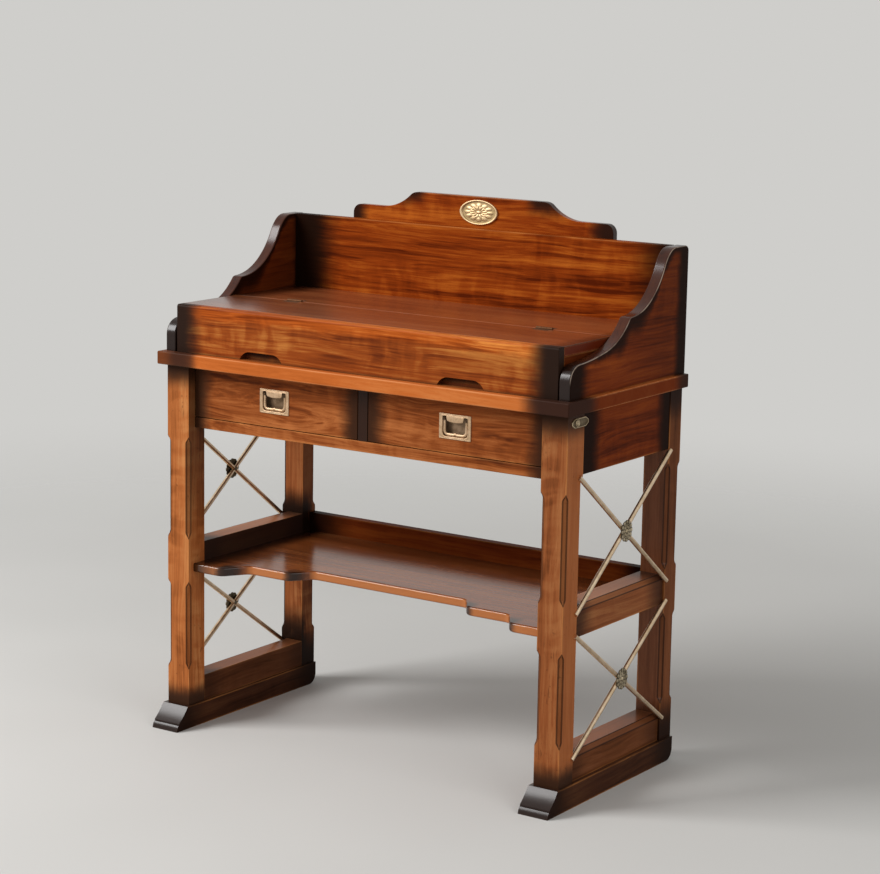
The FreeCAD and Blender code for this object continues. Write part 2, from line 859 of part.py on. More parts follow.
def make_badge():
    """Elongated octagonal plate with a round boss towards its front end."""
    front = leg_front + badge_front_set
    rear = front + badge_length
    high = board_bottom - badge_drop
    low = high - badge_height
    cut = badge_corner
    rise = badge_corner_rise
    steps = [((front, high - rise),), ((front + cut, high),), ((rear - cut, high),), ((rear, high - rise),)]
    steps += [((rear, low + rise),), ((rear - cut, low),), ((front + cut, low),)]
    plate = face_of((front, low + rise), steps, side_view(leg_outer)).extrude(V(badge_thickness, 0, 0))
    middle = V(leg_outer, front + badge_boss_set, (low + high) / 2)
    boss = Part.makeCylinder(badge_boss_radius, badge_thickness + badge_boss_rise, middle, V(1, 0, 0))
    return plate.fuse(boss).removeSplitter()


save_pair("front_leg", make_front_leg())
save_pair("rear_leg", make_rear_leg())
save_pair("foot", make_foot())
save_pair("bottom_rail", make_rail(foot_height, bottom_rail_top))
save_pair("shelf_rail", make_rail(shelf_bottom, shelf_rail_top))
save_pair("apron", make_apron())

for bay, brace_low, brace_high in brace_ends():
    fore_ends, aft_ends = brace_points(brace_low, brace_high)
    crossing = (fore_ends[0] + fore_ends[1]) * 0.5
    save_pair(bay + "_fore_brace", halved_brace(fore_ends, aft_ends, True, crossing))
    save_pair(bay + "_aft_brace", halved_brace(aft_ends, fore_ends, False, crossing))
    save_pair(bay + "_rosette", make_rosette(crossing))

save("shelf", make_shelf())
save("shelf_back_rail", make_shelf_back())
save("case_floor", make_case_floor())
save("case_back", make_case_back())
save("centre_partition", make_partition())
save("waist_board", make_waist_board())

save_pair("gallery_side", make_gallery_side())
save("gallery_back", make_gallery_back())
save("crest_board", make_crest())
save("crest_medallion", make_medallion())
save("rear_top", make_rear_top())

save("lid_top", make_lid_top())
save("lid_front", make_lid_front())
save_pair("lid_cheek", make_lid_cheek())
save_pair("hinge_lid_leaf", hinge_leaf(-1))
save_pair("hinge_fixed_leaf", hinge_leaf(1))

save_pair("drawer_front", make_drawer_front())
save_pair("drawer_inner_side", make_drawer_side(False))
save_pair("drawer_outer_side", make_drawer_side(True))
save_pair("drawer_back", make_drawer_back())
save_pair("drawer_bottom", make_drawer_bottom())
save_pair("pull_plate", make_pull_plate())
save_pair("pull_bail", make_bail())

save("right_leg_badge", make_badge())
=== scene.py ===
"""Looks of a campaign desk: oiled hardwood boards, brass rods, rosettes, pulls and hinges.

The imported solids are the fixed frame. Boards keep their solids and get a grain of their own;
the brass ornaments are worked out as numpy surfaces and stand for their solids.
Lengths in the classes are millimetres, and the meshes are in metres.
"""
import logging
import math
from dataclasses import dataclass
from enum import Enum
from typing import Dict, List, Optional, Sequence, Tuple, Union

import bpy
import numpy as np
from mathutils import Matrix, Vector


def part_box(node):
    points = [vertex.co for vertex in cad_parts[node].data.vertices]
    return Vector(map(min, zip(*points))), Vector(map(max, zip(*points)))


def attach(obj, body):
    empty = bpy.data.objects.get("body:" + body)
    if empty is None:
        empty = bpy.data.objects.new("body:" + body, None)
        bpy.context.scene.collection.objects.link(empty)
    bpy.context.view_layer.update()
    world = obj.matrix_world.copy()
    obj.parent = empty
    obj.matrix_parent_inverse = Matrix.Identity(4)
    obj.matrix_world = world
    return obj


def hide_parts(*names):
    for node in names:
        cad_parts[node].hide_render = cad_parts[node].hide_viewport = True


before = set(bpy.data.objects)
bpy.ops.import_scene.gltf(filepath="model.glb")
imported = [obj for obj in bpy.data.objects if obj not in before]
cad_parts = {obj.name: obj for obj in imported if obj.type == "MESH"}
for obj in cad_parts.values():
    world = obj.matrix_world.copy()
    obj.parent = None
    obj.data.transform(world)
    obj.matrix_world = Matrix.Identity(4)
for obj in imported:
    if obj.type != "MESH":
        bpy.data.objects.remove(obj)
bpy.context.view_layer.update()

LOG = logging.getLogger("campaign_desk")
MM = 0.001
IMAGE_WIDTH = 880
SIDES = ("left", "right")
LEVELS = ("upper", "lower")

Span = Tuple[float, float]
Point = Tuple[float, float, float]
Axes = Tuple[Point, Point, Point]
Colour = Tuple[float, float, float, float]
Stop = Tuple[float, str]
# A fade's start and end, and its results at both.
Change = Tuple[float, float, float, float]
Socket = bpy.types.NodeSocket
Material = bpy.types.Material
Value = Union[float, "Number"]

FRONT: Axes = ((1, 0, 0), (0, 0, 1), (0, -1, 0))


class Axis(Enum):
    """A direction of the desk: width counted from its middle, depth, height, or width with its sign."""

    WIDTH = 0
    DEPTH = 1
    HEIGHT = 2
    SIDE = 3


X, Y, Z, SIDE = Axis

# A shade's border: an axis, the place along it where the shade is full, and where it is gone.
Border = Tuple[Axis, float, float]


def linear(hex_colour: str) -> Colour:
    """Turn a written sRGB colour into linear light.

    Args:
        hex_colour: six hex digits after a hash.

    Returns:
        Linear red, green, blue and a full alpha.
    """
    srgb = np.array([int(hex_colour[i:i + 2], 16) for i in (1, 3, 5)]) / 255.0
    low, high = srgb / 12.92, ((srgb + 0.055) / 1.055) ** 2.4
    return (*np.where(srgb <= 0.04045, low, high).tolist(), 1.0)


class Number:
    """A number in a node tree: arithmetic with it adds Math nodes."""

    def __init__(self, nodes: "Nodes", socket: Socket) -> None:
        """Hold the number's socket and the tree that it is in."""
        self.nodes, self.socket = nodes, socket

    def __add__(self, other: Value) -> "Number":
        """Add another number."""
        return self.nodes.math("ADD", self, other)

    def __sub__(self, other: Value) -> "Number":
        """Take another number away."""
        return self.nodes.math("SUBTRACT", self, other)

    def __rsub__(self, other: Value) -> "Number":
        """Take this number away from another."""
        return self.nodes.math("SUBTRACT", other, self)

    def __mul__(self, other: Value) -> "Number":
        """Multiply by another number."""
        return self.nodes.math("MULTIPLY", self, other)

    def __truediv__(self, other: Value) -> "Number":
        """Divide by another number."""
        return self.nodes.math("DIVIDE", self, other)

    def __abs__(self) -> "Number":
        """Drop the sign."""
        return self.nodes.math("ABSOLUTE", self)

    __radd__, __rmul__ = __add__, __mul__

    def held(self) -> "Number":
        """Keep the number between 0 and 1."""
        return self.nodes.math("ADD", self, 0.0, clamp=True)

    def lean(self, weight: Value) -> "Number":
        """Weigh a noise about its middle."""
        return (self - 0.5) * weight

    def fade(self, start: float, end: float, first: float = 0.0, last: float = 1.0) -> "Number":
        """Go smoothly from one result to another as the number passes from start to end."""
        made = self.nodes.node("MapRange", self, start, end, first, last, interpolation_type="SMOOTHSTEP")
        return Number(self.nodes, made.outputs[0])

    def fade_mm(self, span: Span, first: float = 0.0, last: float = 1.0) -> "Number":
        """Fade a length in metres over a span in millimetres."""
        return self.fade(span[0] * MM, span[1] * MM, first, last)


class Nodes:
    """A node tree, with short words for the nodes that the finishes share."""

    def __init__(self, tree: bpy.types.NodeTree) -> None:
        """Work in that tree."""
        self.tree = tree

    def put(self, socket: Socket, value: object) -> None:
        """Link an input to a number or a socket, or set its own value.

        Args:
            socket: the input.
            value: a number in the tree, an output's socket or a plain value.
        """
        source = value.socket if isinstance(value, Number) else value
        if isinstance(source, Socket):
            self.tree.links.new(source, socket)
        else:
            socket.default_value = source

    def fill(self, node: bpy.types.Node, values: Dict[str, object]) -> None:
        """Put values into a node's inputs by their names."""
        for key, value in values.items():
            self.put(node.inputs[key], value)

    def node(self, kind: str, *values: object, **settings: object) -> bpy.types.Node:
        """Add one node.

        Args:
            kind: the node's type without its common prefix.
            values: what goes into its inputs, in their order.
            settings: properties to set on the node.

        Returns:
            The new node.
        """
        made = self.tree.nodes.new("ShaderNode" + kind)
        for key, value in settings.items():
            setattr(made, key, value)
        for socket, value in zip(made.inputs, values):
            self.put(socket, value)
        return made

    def math(self, operation: str, *values: object, clamp: bool = False) -> Number:
        """Work out one number from others, and keep it between 0 and 1 where clamp is set."""
        return Number(self, self.node("Math", *values, operation=operation, use_clamp=clamp).outputs[0])


class Shader(Nodes):
    """A material's node tree and its principled surface."""

    def __init__(self, name: str) -> None:
        """Start a material of that name."""
        self.material = bpy.data.materials.new(name)
        self.material.use_nodes = True
        super().__init__(self.material.node_tree)
        self.surface = self.tree.nodes["Principled BSDF"]

    def place(self) -> Socket:
        """Give the point's place in the part's own frame, in metres."""
        return self.node("TexCoord").outputs["Object"]

    def apart(self, vector: Socket) -> List[Number]:
        """Take a vector apart into its three numbers."""
        return [Number(self, part) for part in self.node("SeparateXYZ", vector).outputs]

    def moved(self, place: Socket, by: Number) -> Socket:
        """Move a place by the same length along every axis."""
        return self.node("VectorMath", place, by, operation="ADD").outputs[0]

    def looks(self, axis: Axis) -> Number:
        """Give the part of the face's direction that lies along an axis, -1 to 1."""
        return self.apart(self.node("TexCoord").outputs["Normal"])[axis.value]

    def edgeways(self, axis: Axis) -> Number:
        """Give 0 on faces that look along the axis, and 1 on those that look across it."""
        return abs(self.looks(axis)).fade(0.4, 0.95, 1.0, 0.0)

    def ramp(self, value: Number, stops: Sequence[Stop]) -> Socket:
        """Read a colour off a scale.

        Args:
            value: the place on the scale, 0 to 1.
            stops: places and their written colours, in order.

        Returns:
            The colour.
        """
        made = self.node("ValToRGB", value)
        scale = made.color_ramp.elements
        while len(scale) < len(stops):
            scale.new(1.0)
        for element, (place, colour) in zip(scale, stops):
            element.position = place
            element.color = linear(colour)
        return made.outputs[0]

    def paint(self, colour: Socket, tone: str, share: Value) -> Socket:
        """Lay a written tone over a colour.

        Args:
            colour: the colour below.
            tone: the tone that covers it.
            share: how much of it covers, 0 to 1.

        Returns:
            The new colour.
        """
        made = self.node("Mix", share, data_type="RGBA")
        for index, value in ((6, colour), (7, linear(tone))):
            self.put(made.inputs[index], value)
        return made.outputs[2]

    def finish(self, colour: Socket, roughness: Number, height: Number,
               strength: float, reach: float) -> Material:
        """Connect colour, roughness and relief to the surface.

        Args:
            colour: the surface colour.
            roughness: the surface roughness.
            height: relief, 0 to 1.
            strength: how strongly the relief turns the light.
            reach: the relief's height in millimetres.

        Returns:
            The finished material.
        """
        bump = self.node("Bump")
        self.fill(bump, {"Strength": strength, "Distance": reach * MM, "Height": height})
        self.fill(self.surface, {"Base Color": colour, "Roughness": roughness, "Normal": bump.outputs[0]})
        return self.material


@dataclass(frozen=True)
class Layer:
    """One layer of noise: its cells per metre along and across the grain, its offset and finer waves.

    Where it has a span, the noise between those two values is spread smoothly from 0 to 1.
    """

    along: float
    across: float
    offset: float = 0.0
    detail: float = 2.0
    rough: float = 0.5
    twist: float = 0.0
    span: Optional[Span] = None

    def over(self, shader: Shader, place: Socket, grain: Axis = X, shift: float = 0.0) -> Number:
        """Lay the noise over a surface.

        Args:
            shader: the material in work.
            place: the point's coordinates.
            grain: the direction of the grain.
            shift: offset that makes one board differ from the next.

        Returns:
            The noise, about 0.5 on average where it has no span.
        """
        start = shift + self.offset
        cells = [self.along if axis is grain else self.across for axis in (X, Y, Z)]
        mapping = shader.node("Mapping", place)
        shader.fill(mapping, {"Location": (start, start * 1.7, start * 0.6), "Scale": cells})
        made = shader.node("TexNoise", mapping.outputs[0])
        shader.fill(made, {"Scale": 1.0, "Detail": self.detail, "Roughness": self.rough,
                           "Distortion": self.twist})
        noise = Number(shader, made.outputs["Fac"])
        return noise.fade(*self.span) if self.span else noise


@dataclass(frozen=True)
class Spot:
    """A point of a board in its material.

    Its places are its width from the middle, depth, height and signed width in metres, and wander is
    a ragged length about zero that loosens a straight border.
    """

    shader: Shader
    places: Tuple[Number, ...]
    wander: Number

    def along(self, axis: Axis) -> Number:
        """Give the point's place along an axis."""
        return self.places[axis.value]

    def outward(self) -> Number:
        """Give how squarely its face looks away from the desk's middle, -1 to 1."""
        return self.shader.looks(X) * self.shader.math("SIGN", self.along(SIDE))


class Shade:
    """A dark place on a board."""

    def mask(self, spot: Spot) -> Value:
        """Give how dark a point is, 0 to 1."""
        raise NotImplementedError


@dataclass(frozen=True)
class BurnishAndShade(Shade):
    """A darkened patch, the product of its borders' fades: burnished finish at board ends, and painted shade,
    shadow and reflection where the boards list them.
    """

    borders: Tuple[Border, ...]
    depth: float = 1.0
    straight: float = 5.0

    def mask(self, spot: Spot) -> Value:
        """Multiply the fades: a border no wider than the straight width is even, and any other is ragged.

        Args:
            spot: the point.

        Returns:
            Its darkness, 0 to 1.
        """
        dark: Value = self.depth
        for axis, full, gone in self.borders:
            place = spot.along(axis)
            if abs(full - gone) > self.straight:
                place = place + spot.wander
            dark = dark * place.fade_mm((full, gone), 1.0, 0.0)
        return dark


@dataclass(frozen=True)
class InwardShade(Shade):
    """Painted shade on faces that look towards the desk's middle, within their borders."""

    depth: float
    borders: Tuple[Border, ...] = ()
    turn: Span = (-0.5, -0.9)

    def mask(self, spot: Spot) -> Value:
        """Paint shade by the face's direction."""
        return spot.outward().fade(*self.turn) * BurnishAndShade(self.borders, self.depth).mask(spot)


@dataclass(frozen=True)
class Chamfers(Shade):
    """Stopped chamfers along straight corners: painted shade, dim on the flats with a dark line along each
    border.
    """

    corners: Tuple[Span, ...]
    zones: Tuple[Span, ...] = ((120.0, 305.0), (390.0, 601.0))
    axes: Tuple[Axis, Axis, Axis] = (X, Y, Z)
    width: float = 7.5
    tongue: float = 15.0
    flat_depth: float = 0.10
    flat_border: Span = (1.2, 1.8)
    line_depth: float = 0.56
    line_border: Span = (0.5, 1.7)
    stop: float = 12.0

    def mask(self, spot: Spot) -> Value:
        """Darken by the two distances from a corner.

        Their sum is even all over a flat, and its borders run where the larger of the two is the
        flat's width, which dies out at each end of a zone.

        Args:
            spot: the point.

        Returns:
            Its darkness, 0 to 1.
        """
        work = spot.shader.math
        first, second, along = (spot.along(axis) for axis in self.axes)
        reach: Value = 1.0
        border: Value = 1.0
        for corner in self.corners:
            gaps = [abs(value - place * MM) for value, place in zip((first, second), corner)]
            reach = work("MINIMUM", reach, gaps[0] + gaps[1])
            border = work("MINIMUM", border, work("MAXIMUM", *gaps))
        cut: Value = 0.0
        for low, high in self.zones:
            half = (high - low) / 2
            gap = abs(along - (low + high) / 2 * MM)
            cut = cut + gap.fade_mm((half - self.tongue, half), 1.0, 0.0)
        wide = cut * (self.width * MM)
        line = abs(border - wide).fade_mm(self.line_border, self.line_depth, 0.0)
        flat = (reach - wide).fade_mm(self.flat_border, self.flat_depth, 0.0)
        return work("MAXIMUM", line, flat) * (cut * self.stop).held()


@dataclass(frozen=True)
class CurvedEdge(Shade):
    """The dark front edge of a gallery side, which also dims the wood along it: burnished, with painted
    shadow reaching further down under the edge's hollow.
    """

    start: float = -190.5
    depth: float = 424.0
    foot: float = 770.0
    rise: float = 247.0
    heights: Tuple[Span, ...] = (
        (0.0, 32.0), (32.0, 64.0), (101.5, 71.5), (136.5, 78.4), (171.5, 93.3), (199.4, 117.0),
        (207.0, 127.0), (216.5, 130.8), (242.5, 134.5), (279.0, 150.9), (311.2, 180.0), (333.0, 213.5),
        (376.0, 247.0), (424.0, 247.0))
    # Under the hollow of the curve the painted shadow reaches further down the side.
    hollow_from: Span = (-50.0, 0.0)
    hollow_to: Span = (120.0, 60.0)
    reach: float = 18.0
    hollow_reach: float = 34.0
    side_dark: float = 0.85
    edge_dark: float = 0.48

    def mask(self, spot: Spot) -> Value:
        """Darken faces that don't look sideways, and the sides down from the edge's height over the depth.

        Args:
            spot: the point.

        Returns:
            Its darkness, 0 to 1.
        """
        shader, depth = spot.shader, spot.along(Y)
        curve = shader.node("FloatCurve")
        points = curve.mapping.curves[0].points
        while len(points) < len(self.heights):
            points.new(0.5, 0.5)
        for point, (along, height) in zip(points, self.heights):
            point.location = (along / self.depth, height / self.rise)
        curve.mapping.update()
        share = ((depth - self.start * MM) / (self.depth * MM)).held()
        shader.put(curve.inputs["Value"], share)
        edge = Number(shader, curve.outputs[0]) * (self.rise * MM) + self.foot * MM
        below = edge - spot.along(Z) + spot.wander
        hollow = depth.fade_mm(self.hollow_from) * depth.fade_mm(self.hollow_to)
        reach = hollow * (self.hollow_reach * MM) + self.reach * MM
        edgeways = shader.edgeways(X)
        near = (below / reach).fade(0.0, 1.0, self.side_dark, 0.0) * (1.0 - edgeways)
        return shader.math("MAXIMUM", near, edgeways * self.edge_dark)


def patch(*borders: Border, depth: float = 1.0) -> BurnishAndShade:
    """Darken the wood within all of the borders; the boards' list notes which patches are painted shade."""
    return BurnishAndShade(borders, depth)


def ends(axis: Axis, first: Span, last: Span, depth: float = 1.0) -> Tuple[BurnishAndShade, BurnishAndShade]:
    """Darken both ends of a board, each from where its dark wood is full to where it is gone: a burnished
    finish, deepened by painted shade where the boards' list says so.
    """
    return patch((axis, *first), depth=depth), patch((axis, *last), depth=depth)


def ridge(axis: Axis, low: float, high: float, reach: float) -> Tuple[Border, Border]:
    """Give the two borders that keep a patch between two places."""
    return (axis, low, low - reach), (axis, high, high + reach)


@dataclass(frozen=True)
class WoodTone:
    """The colours of one kind of board and how it takes polish."""

    deep: str
    middle: str
    bright: str
    curl: float = 0.12
    contrast: float = 1.0
    wave: float = 50.0
    roughness: float = 0.42
    shine: float = 0.05
    relief: float = 0.2
    marks: float = 0.0
    coat: float = 0.0
    flat: Axis = X
    # The colour that edges lighten to: wear, with a painted highlight along the arris.
    worn: str = "#D08A4C"
    dark: str = "#20150F"
    # Faces that look along the turned axis take the turned tone: end grain on the tops and the waist board,
    # painted light on the right front leg's sides, the rails' tops and the shelf's front edge.
    turned: Optional[Axis] = None
    turned_tone: str = "#7A3210"
    turned_share: float = 0.4
    turned_dull: float = 0.0
    # A painted highlight along the rounded outer arris of a curved edge, from a foot height up.
    gleam: str = ""
    gleam_foot: Span = (796.0, 812.0)


class Timber(Enum):
    """The kinds of board in the desk."""

    FIGURED = WoodTone("#7C320A", "#B8581C", "#EE9646", 0.22, dark="#2A1B14")
    DRAWER = WoodTone("#58270F", "#8C481F", "#B66C3A", 0.14, wave=130.0, dark="#3C2315")
    GALLERY = WoodTone("#561C04", "#8C3A0C", "#B8621E", 0.14, shine=0.02, dark="#1C0D06")
    CREST = WoodTone("#521A04", "#8A380C", "#B45D1C", 0.20, shine=0.02, coat=0.6, flat=Y, dark="#2C170F")
    EDGE = WoodTone("#A8541F", "#C4682D", "#D47E42", 0.06, 0.7, worn="#E8A26C", dark="#38221A",
                    turned=X, turned_tone="#5E1E06", turned_share=0.86, turned_dull=0.3)
    LIT_LEG = WoodTone("#7A411C", "#B06635", "#CC8A52", 0.34, 0.7, marks=0.4, dark="#3A2316")
    # The right front leg's sideways faces take a paler turned tone: painted light.
    BROWN_LEG = WoodTone("#5E3116", "#92522C", "#AE7144", 0.36, 0.7, marks=0.4, dark="#3A2316",
                         turned=X, turned_tone="#BC7040")
    REAR_LEG = WoodTone("#5E3116", "#92522C", "#AE7144", 0.36, 0.7, marks=0.4, dark="#20120B")
    RED = WoodTone("#421605", "#74300F", "#944819", 0.12, 0.7, shine=0.02, dark="#1E0D06")
    # Faces that look up and down take a paler turned tone: a painted sheen on the rails' tops.
    BROWN = WoodTone("#45230E", "#704024", "#90593A", 0.14, 0.6, shine=0.03, coat=0.28, dark="#28160E",
                     turned=Z, turned_tone="#A06038")
    # Faces that look up and down take a paler turned tone: a painted sheen on the rail's top.
    RAIL = WoodTone("#5C3016", "#905432", "#AE7448", 0.10, 0.6, shine=0.03, coat=0.30, dark="#30201A",
                    turned=Z, turned_tone="#B4744A")
    DARK = WoodTone("#2A160D", "#48291A", "#624028", 0.10, 0.6, shine=0.03, coat=0.62, dark="#20120C")
    CURVED = WoodTone("#461806", "#783210", "#984A1A", 0.12, 0.7, shine=0.02, coat=0.72, dark="#1E0D06",
                      gleam="#BCA694")
    TOP = WoodTone("#642E18", "#904C2A", "#AC683E", 0.10, 0.6, 50.0, 0.3, 0.04, 0.03, coat=0.82,
                   worn="#B27048", dark="#241008", turned=X, turned_tone="#5E1E08", turned_share=0.95)
    # Faces that look front and back take a paler turned tone: painted light on the shelf's front edge.
    SHELF = WoodTone("#54260F", "#84461F", "#A06034", 0.10, 0.6, 50.0, 0.16, 0.42, 0.03, worn="#A06A40",
                     dark="#24140C", turned=Y, turned_tone="#BE7238", turned_share=0.8)
    LINING = WoodTone("#7A4A28", "#A06B3E", "#BD8A58", 0.08, roughness=0.60, worn="#C9A070")


class Figure(Enum):
    """The layers of noise in a board's figure and wear."""

    WAVE = Layer(2.2, 9.0)
    BANDS = Layer(1.8, 30.0, detail=4.0, rough=0.6)
    RINGS = Layer(2.2, 95.0, 4.4, span=(0.53, 0.68))
    STREAKS = Layer(7.0, 230.0, 3.1, rough=0.6)
    PORES = Layer(60.0, 1400.0, 7.7, 1.0, span=(0.56, 0.72))
    SWIRL = Layer(14.0, 14.0, 6.1, 1.0)
    CURL = Layer(36.0, 11.0, 5.3, span=(0.36, 0.64))
    PATCHES = Layer(3.5, 12.0, 1.9, span=(0.42, 0.62))
    CLOUDS = Layer(1.6, 7.0, 8.8)
    RAGGED = Layer(30.0, 30.0, 2.2, 3.0)
    SPARSE = Layer(13.0, 13.0, 9.1, 1.0, span=(0.50, 0.62))
    DENTS = Layer(120.0, 120.0, 2.9, 1.0, span=(0.64, 0.78))
    CHECKS = Layer(24.0, 260.0, 6.6, 1.0, twist=0.6, span=(0.64, 0.74))


@dataclass(frozen=True)
class WoodFinish:
    """An oiled hardwood board: waving bands, streaks, pores and cross figure along one grain.

    Its lowest and highest corners are in metres, with the width folded to the right side.
    """

    name: str
    timber: Timber
    grain: Axis
    shades: Tuple[Shade, ...]
    shift: float
    low: np.ndarray
    high: np.ndarray
    band_weight: float = 1.35
    streak_weight: float = 0.75
    cloud_weight: float = 0.5
    ring_weight: float = 0.22
    balance: float = 0.54
    tone_places: Point = (0.18, 0.5, 0.86)
    pore_stain: float = 0.3
    swirl_reach: float = 30.0
    ragged_reach: float = 20.0
    streak_reach: float = 8.0
    arris_reach: Span = (0.6, 3.4)
    wear_and_highlight_fade: Change = (0.3, 0.75, 0.12, 0.5)
    turned_fade: Span = (0.5, 0.9)
    gleam_rise: Span = (0.4, 0.6)
    gleam_fall: Span = (0.95, 0.82)
    gleam_breaks: Change = (0.34, 0.62, 0.2, 0.75)
    coat_roughness: float = 0.2
    streak_rough: float = 0.4
    pore_rough: float = 0.05
    streak_height: float = 0.45
    pore_depth: float = 0.4
    curl_height: float = 0.1
    relief_reach: float = 0.4

    def arris(self, spot: Spot) -> Number:
        """Find the board's long edges: the middle one of the three distances to its faces is small.

        Args:
            spot: the point.

        Returns:
            A mask, 1 on an edge and 0 a few millimetres from it.
        """
        work = spot.shader.math
        middles, halves = ((self.low + self.high) / 2).tolist(), ((self.high - self.low) / 2).tolist()
        gaps = [half - abs(place - middle) for place, middle, half in zip(spot.places, middles, halves)]
        lesser, greater = work("MINIMUM", *gaps[:2]), work("MAXIMUM", *gaps[:2])
        between = work("MAXIMUM", lesser, work("MINIMUM", greater, gaps[2]))
        return between.fade_mm(self.arris_reach, 1.0, 0.0)

    def material(self) -> Material:
        """Make the board's material: a colour from its figure, with wear, marks and shades laid over it.

        Returns:
            The material.
        """
        tone: WoodTone = self.timber.value
        shader = Shader(self.name)
        place = shader.place()

        def noise(kind: Figure, where: Socket = place) -> Number:
            """Lay one layer of the figure over the board."""
            return kind.value.over(shader, where, self.grain, self.shift)

        bent = shader.moved(place, noise(Figure.WAVE).lean(tone.wave * MM))
        swirled = shader.moved(bent, noise(Figure.SWIRL).lean(self.swirl_reach * MM))
        streaks, pores = noise(Figure.STREAKS, bent), noise(Figure.PORES, bent)
        curl, ragged = noise(Figure.CURL, swirled), noise(Figure.RAGGED)
        wander = ragged.lean(self.ragged_reach * MM) + streaks.lean(self.streak_reach * MM)
        wide, deep, tall = shader.apart(place)
        spot = Spot(shader, (abs(wide), deep, tall, wide), wander)

        scale = noise(Figure.BANDS, bent).lean(self.band_weight) + streaks.lean(self.streak_weight)
        scale = scale + curl.lean(noise(Figure.PATCHES) * tone.curl)
        scale = scale + noise(Figure.CLOUDS).lean(self.cloud_weight)
        scale = scale - noise(Figure.RINGS, bent) * self.ring_weight
        scale = (scale * tone.contrast + self.balance).held()
        colour = shader.ramp(scale, tuple(zip(self.tone_places, (tone.deep, tone.middle, tone.bright))))
        colour = shader.paint(colour, tone.deep, pores * self.pore_stain)

        # Faces along the turned axis take the turned tone: end grain on some timbers, painted light on
        # others.
        facing: Value = 0.0
        if tone.turned:
            facing = abs(shader.looks(tone.turned)).fade(*self.turned_fade, 0.0, tone.turned_share)
            colour = shader.paint(colour, tone.turned_tone, facing)
        # Arrises lighten: wear, with a painted highlight.
        colour = shader.paint(colour, tone.worn, self.arris(spot) * streaks.fade(*self.wear_and_highlight_fade))
        if tone.marks:
            knocks = shader.math("MAXIMUM", noise(Figure.DENTS), noise(Figure.CHECKS)) * noise(Figure.SPARSE)
            colour = shader.paint(colour, tone.dark, knocks * tone.marks)
        # Burnish and painted shade darken the colour towards the tone's dark.
        light: Value = 1.0
        for shade in self.shades:
            light = light * (1.0 - shade.mask(spot))
        colour = shader.paint(colour, tone.dark, 1.0 - light * light)
        # Painted highlight along the rounded outer arris, broken up by noise.
        if tone.gleam:
            outward = spot.outward()
            rounded = outward.fade(*self.gleam_rise) * outward.fade(*self.gleam_fall)
            gleam_line = rounded * tall.fade_mm(tone.gleam_foot) * ragged.fade(*self.gleam_breaks)
            colour = shader.paint(colour, tone.gleam, gleam_line)

        surface = shader.surface.inputs
        if tone.coat:
            shader.put(surface["Coat Weight"], shader.edgeways(tone.flat) * tone.coat)
        surface["Coat Roughness"].default_value = self.coat_roughness
        surface["Specular IOR Level"].default_value = tone.shine
        roughness = streaks.lean(self.streak_rough * tone.roughness) + tone.roughness
        roughness = roughness + pores * self.pore_rough + facing * tone.turned_dull
        relief = streaks * self.streak_height - pores * self.pore_depth + curl * self.curl_height
        return shader.finish(colour, roughness, relief, tone.relief, self.relief_reach)


class Tarnish(Enum):
    """The layers of noise in aged brass."""

    MOTTLE = Layer(60.0, 60.0, 1.3, 4.0, 0.6)
    GRAIN = Layer(420.0, 420.0, 4.1, rough=0.6)
    SCRATCHES = Layer(90.0, 1500.0, 2.7, 1.0)


@dataclass(frozen=True)
class BrassFinish:
    """Aged brass: mottled metal with fine scratches, dark in its hollows."""

    name: str
    bright: str
    dull: str
    patina: str
    roughness: float
    hollows: float = 0.0
    tone_places: Span = (0.34, 0.62)
    grain_fade: Change = (0.52, 0.72, 0.0, 0.30)
    mottle_rough: float = 0.14
    hollow_lean: float = 0.3
    hollow_fade: Span = (0.18, 0.72)
    hollow_rough: float = 0.25
    relief: float = 0.1
    relief_reach: float = 0.2

    def material(self) -> Material:
        """Make the metal's material, from the relief attribute where the finish has hollows.

        Returns:
            The material.
        """
        shader = Shader(self.name)
        place = shader.place()
        mottle, grain, scratches = (layer.value.over(shader, place) for layer in Tarnish)
        stain = grain.fade(*self.grain_fade)
        roughness = mottle * self.mottle_rough + self.roughness
        if self.hollows:
            relief = Number(shader, shader.node("Attribute", attribute_name="relief").outputs["Fac"])
            hollow = (relief + mottle.lean(self.hollow_lean)).fade(*self.hollow_fade, self.hollows, 0.0)
            stain = shader.math("MAXIMUM", stain, hollow)
            roughness = roughness + hollow * self.hollow_rough
        colour = shader.ramp(mottle, tuple(zip(self.tone_places, (self.dull, self.bright))))
        colour = shader.paint(colour, self.patina, stain)
        shader.surface.inputs["Metallic"].default_value = 1.0
        return shader.finish(colour, roughness, (scratches + grain) * 0.5, self.relief, self.relief_reach)


class Brass(Enum):
    """The brass finishes of the desk."""

    ROD = BrassFinish("rod_satin_brass", "#E2CBAE", "#CAB08E", "#9C8058", 0.26)
    ORNAMENT = BrassFinish("ornament_antique_brass", "#C4B59A", "#93856A", "#241D16", 0.30, 0.92)
    MEDALLION = BrassFinish("medallion_pale_brass", "#D8BE96", "#BFA67C", "#84704A", 0.42, 0.55)
    PULL = BrassFinish("pull_worn_brass", "#D0B292", "#B99A78", "#4C3A2C", 0.44, 0.9)
    BADGE = BrassFinish("badge_grey_brass", "#C4B294", "#94805F", "#3E3122", 0.34, 0.9)
    HINGE = BrassFinish("hinge_dull_bronze", "#735039", "#60402B", "#46301F", 0.6)


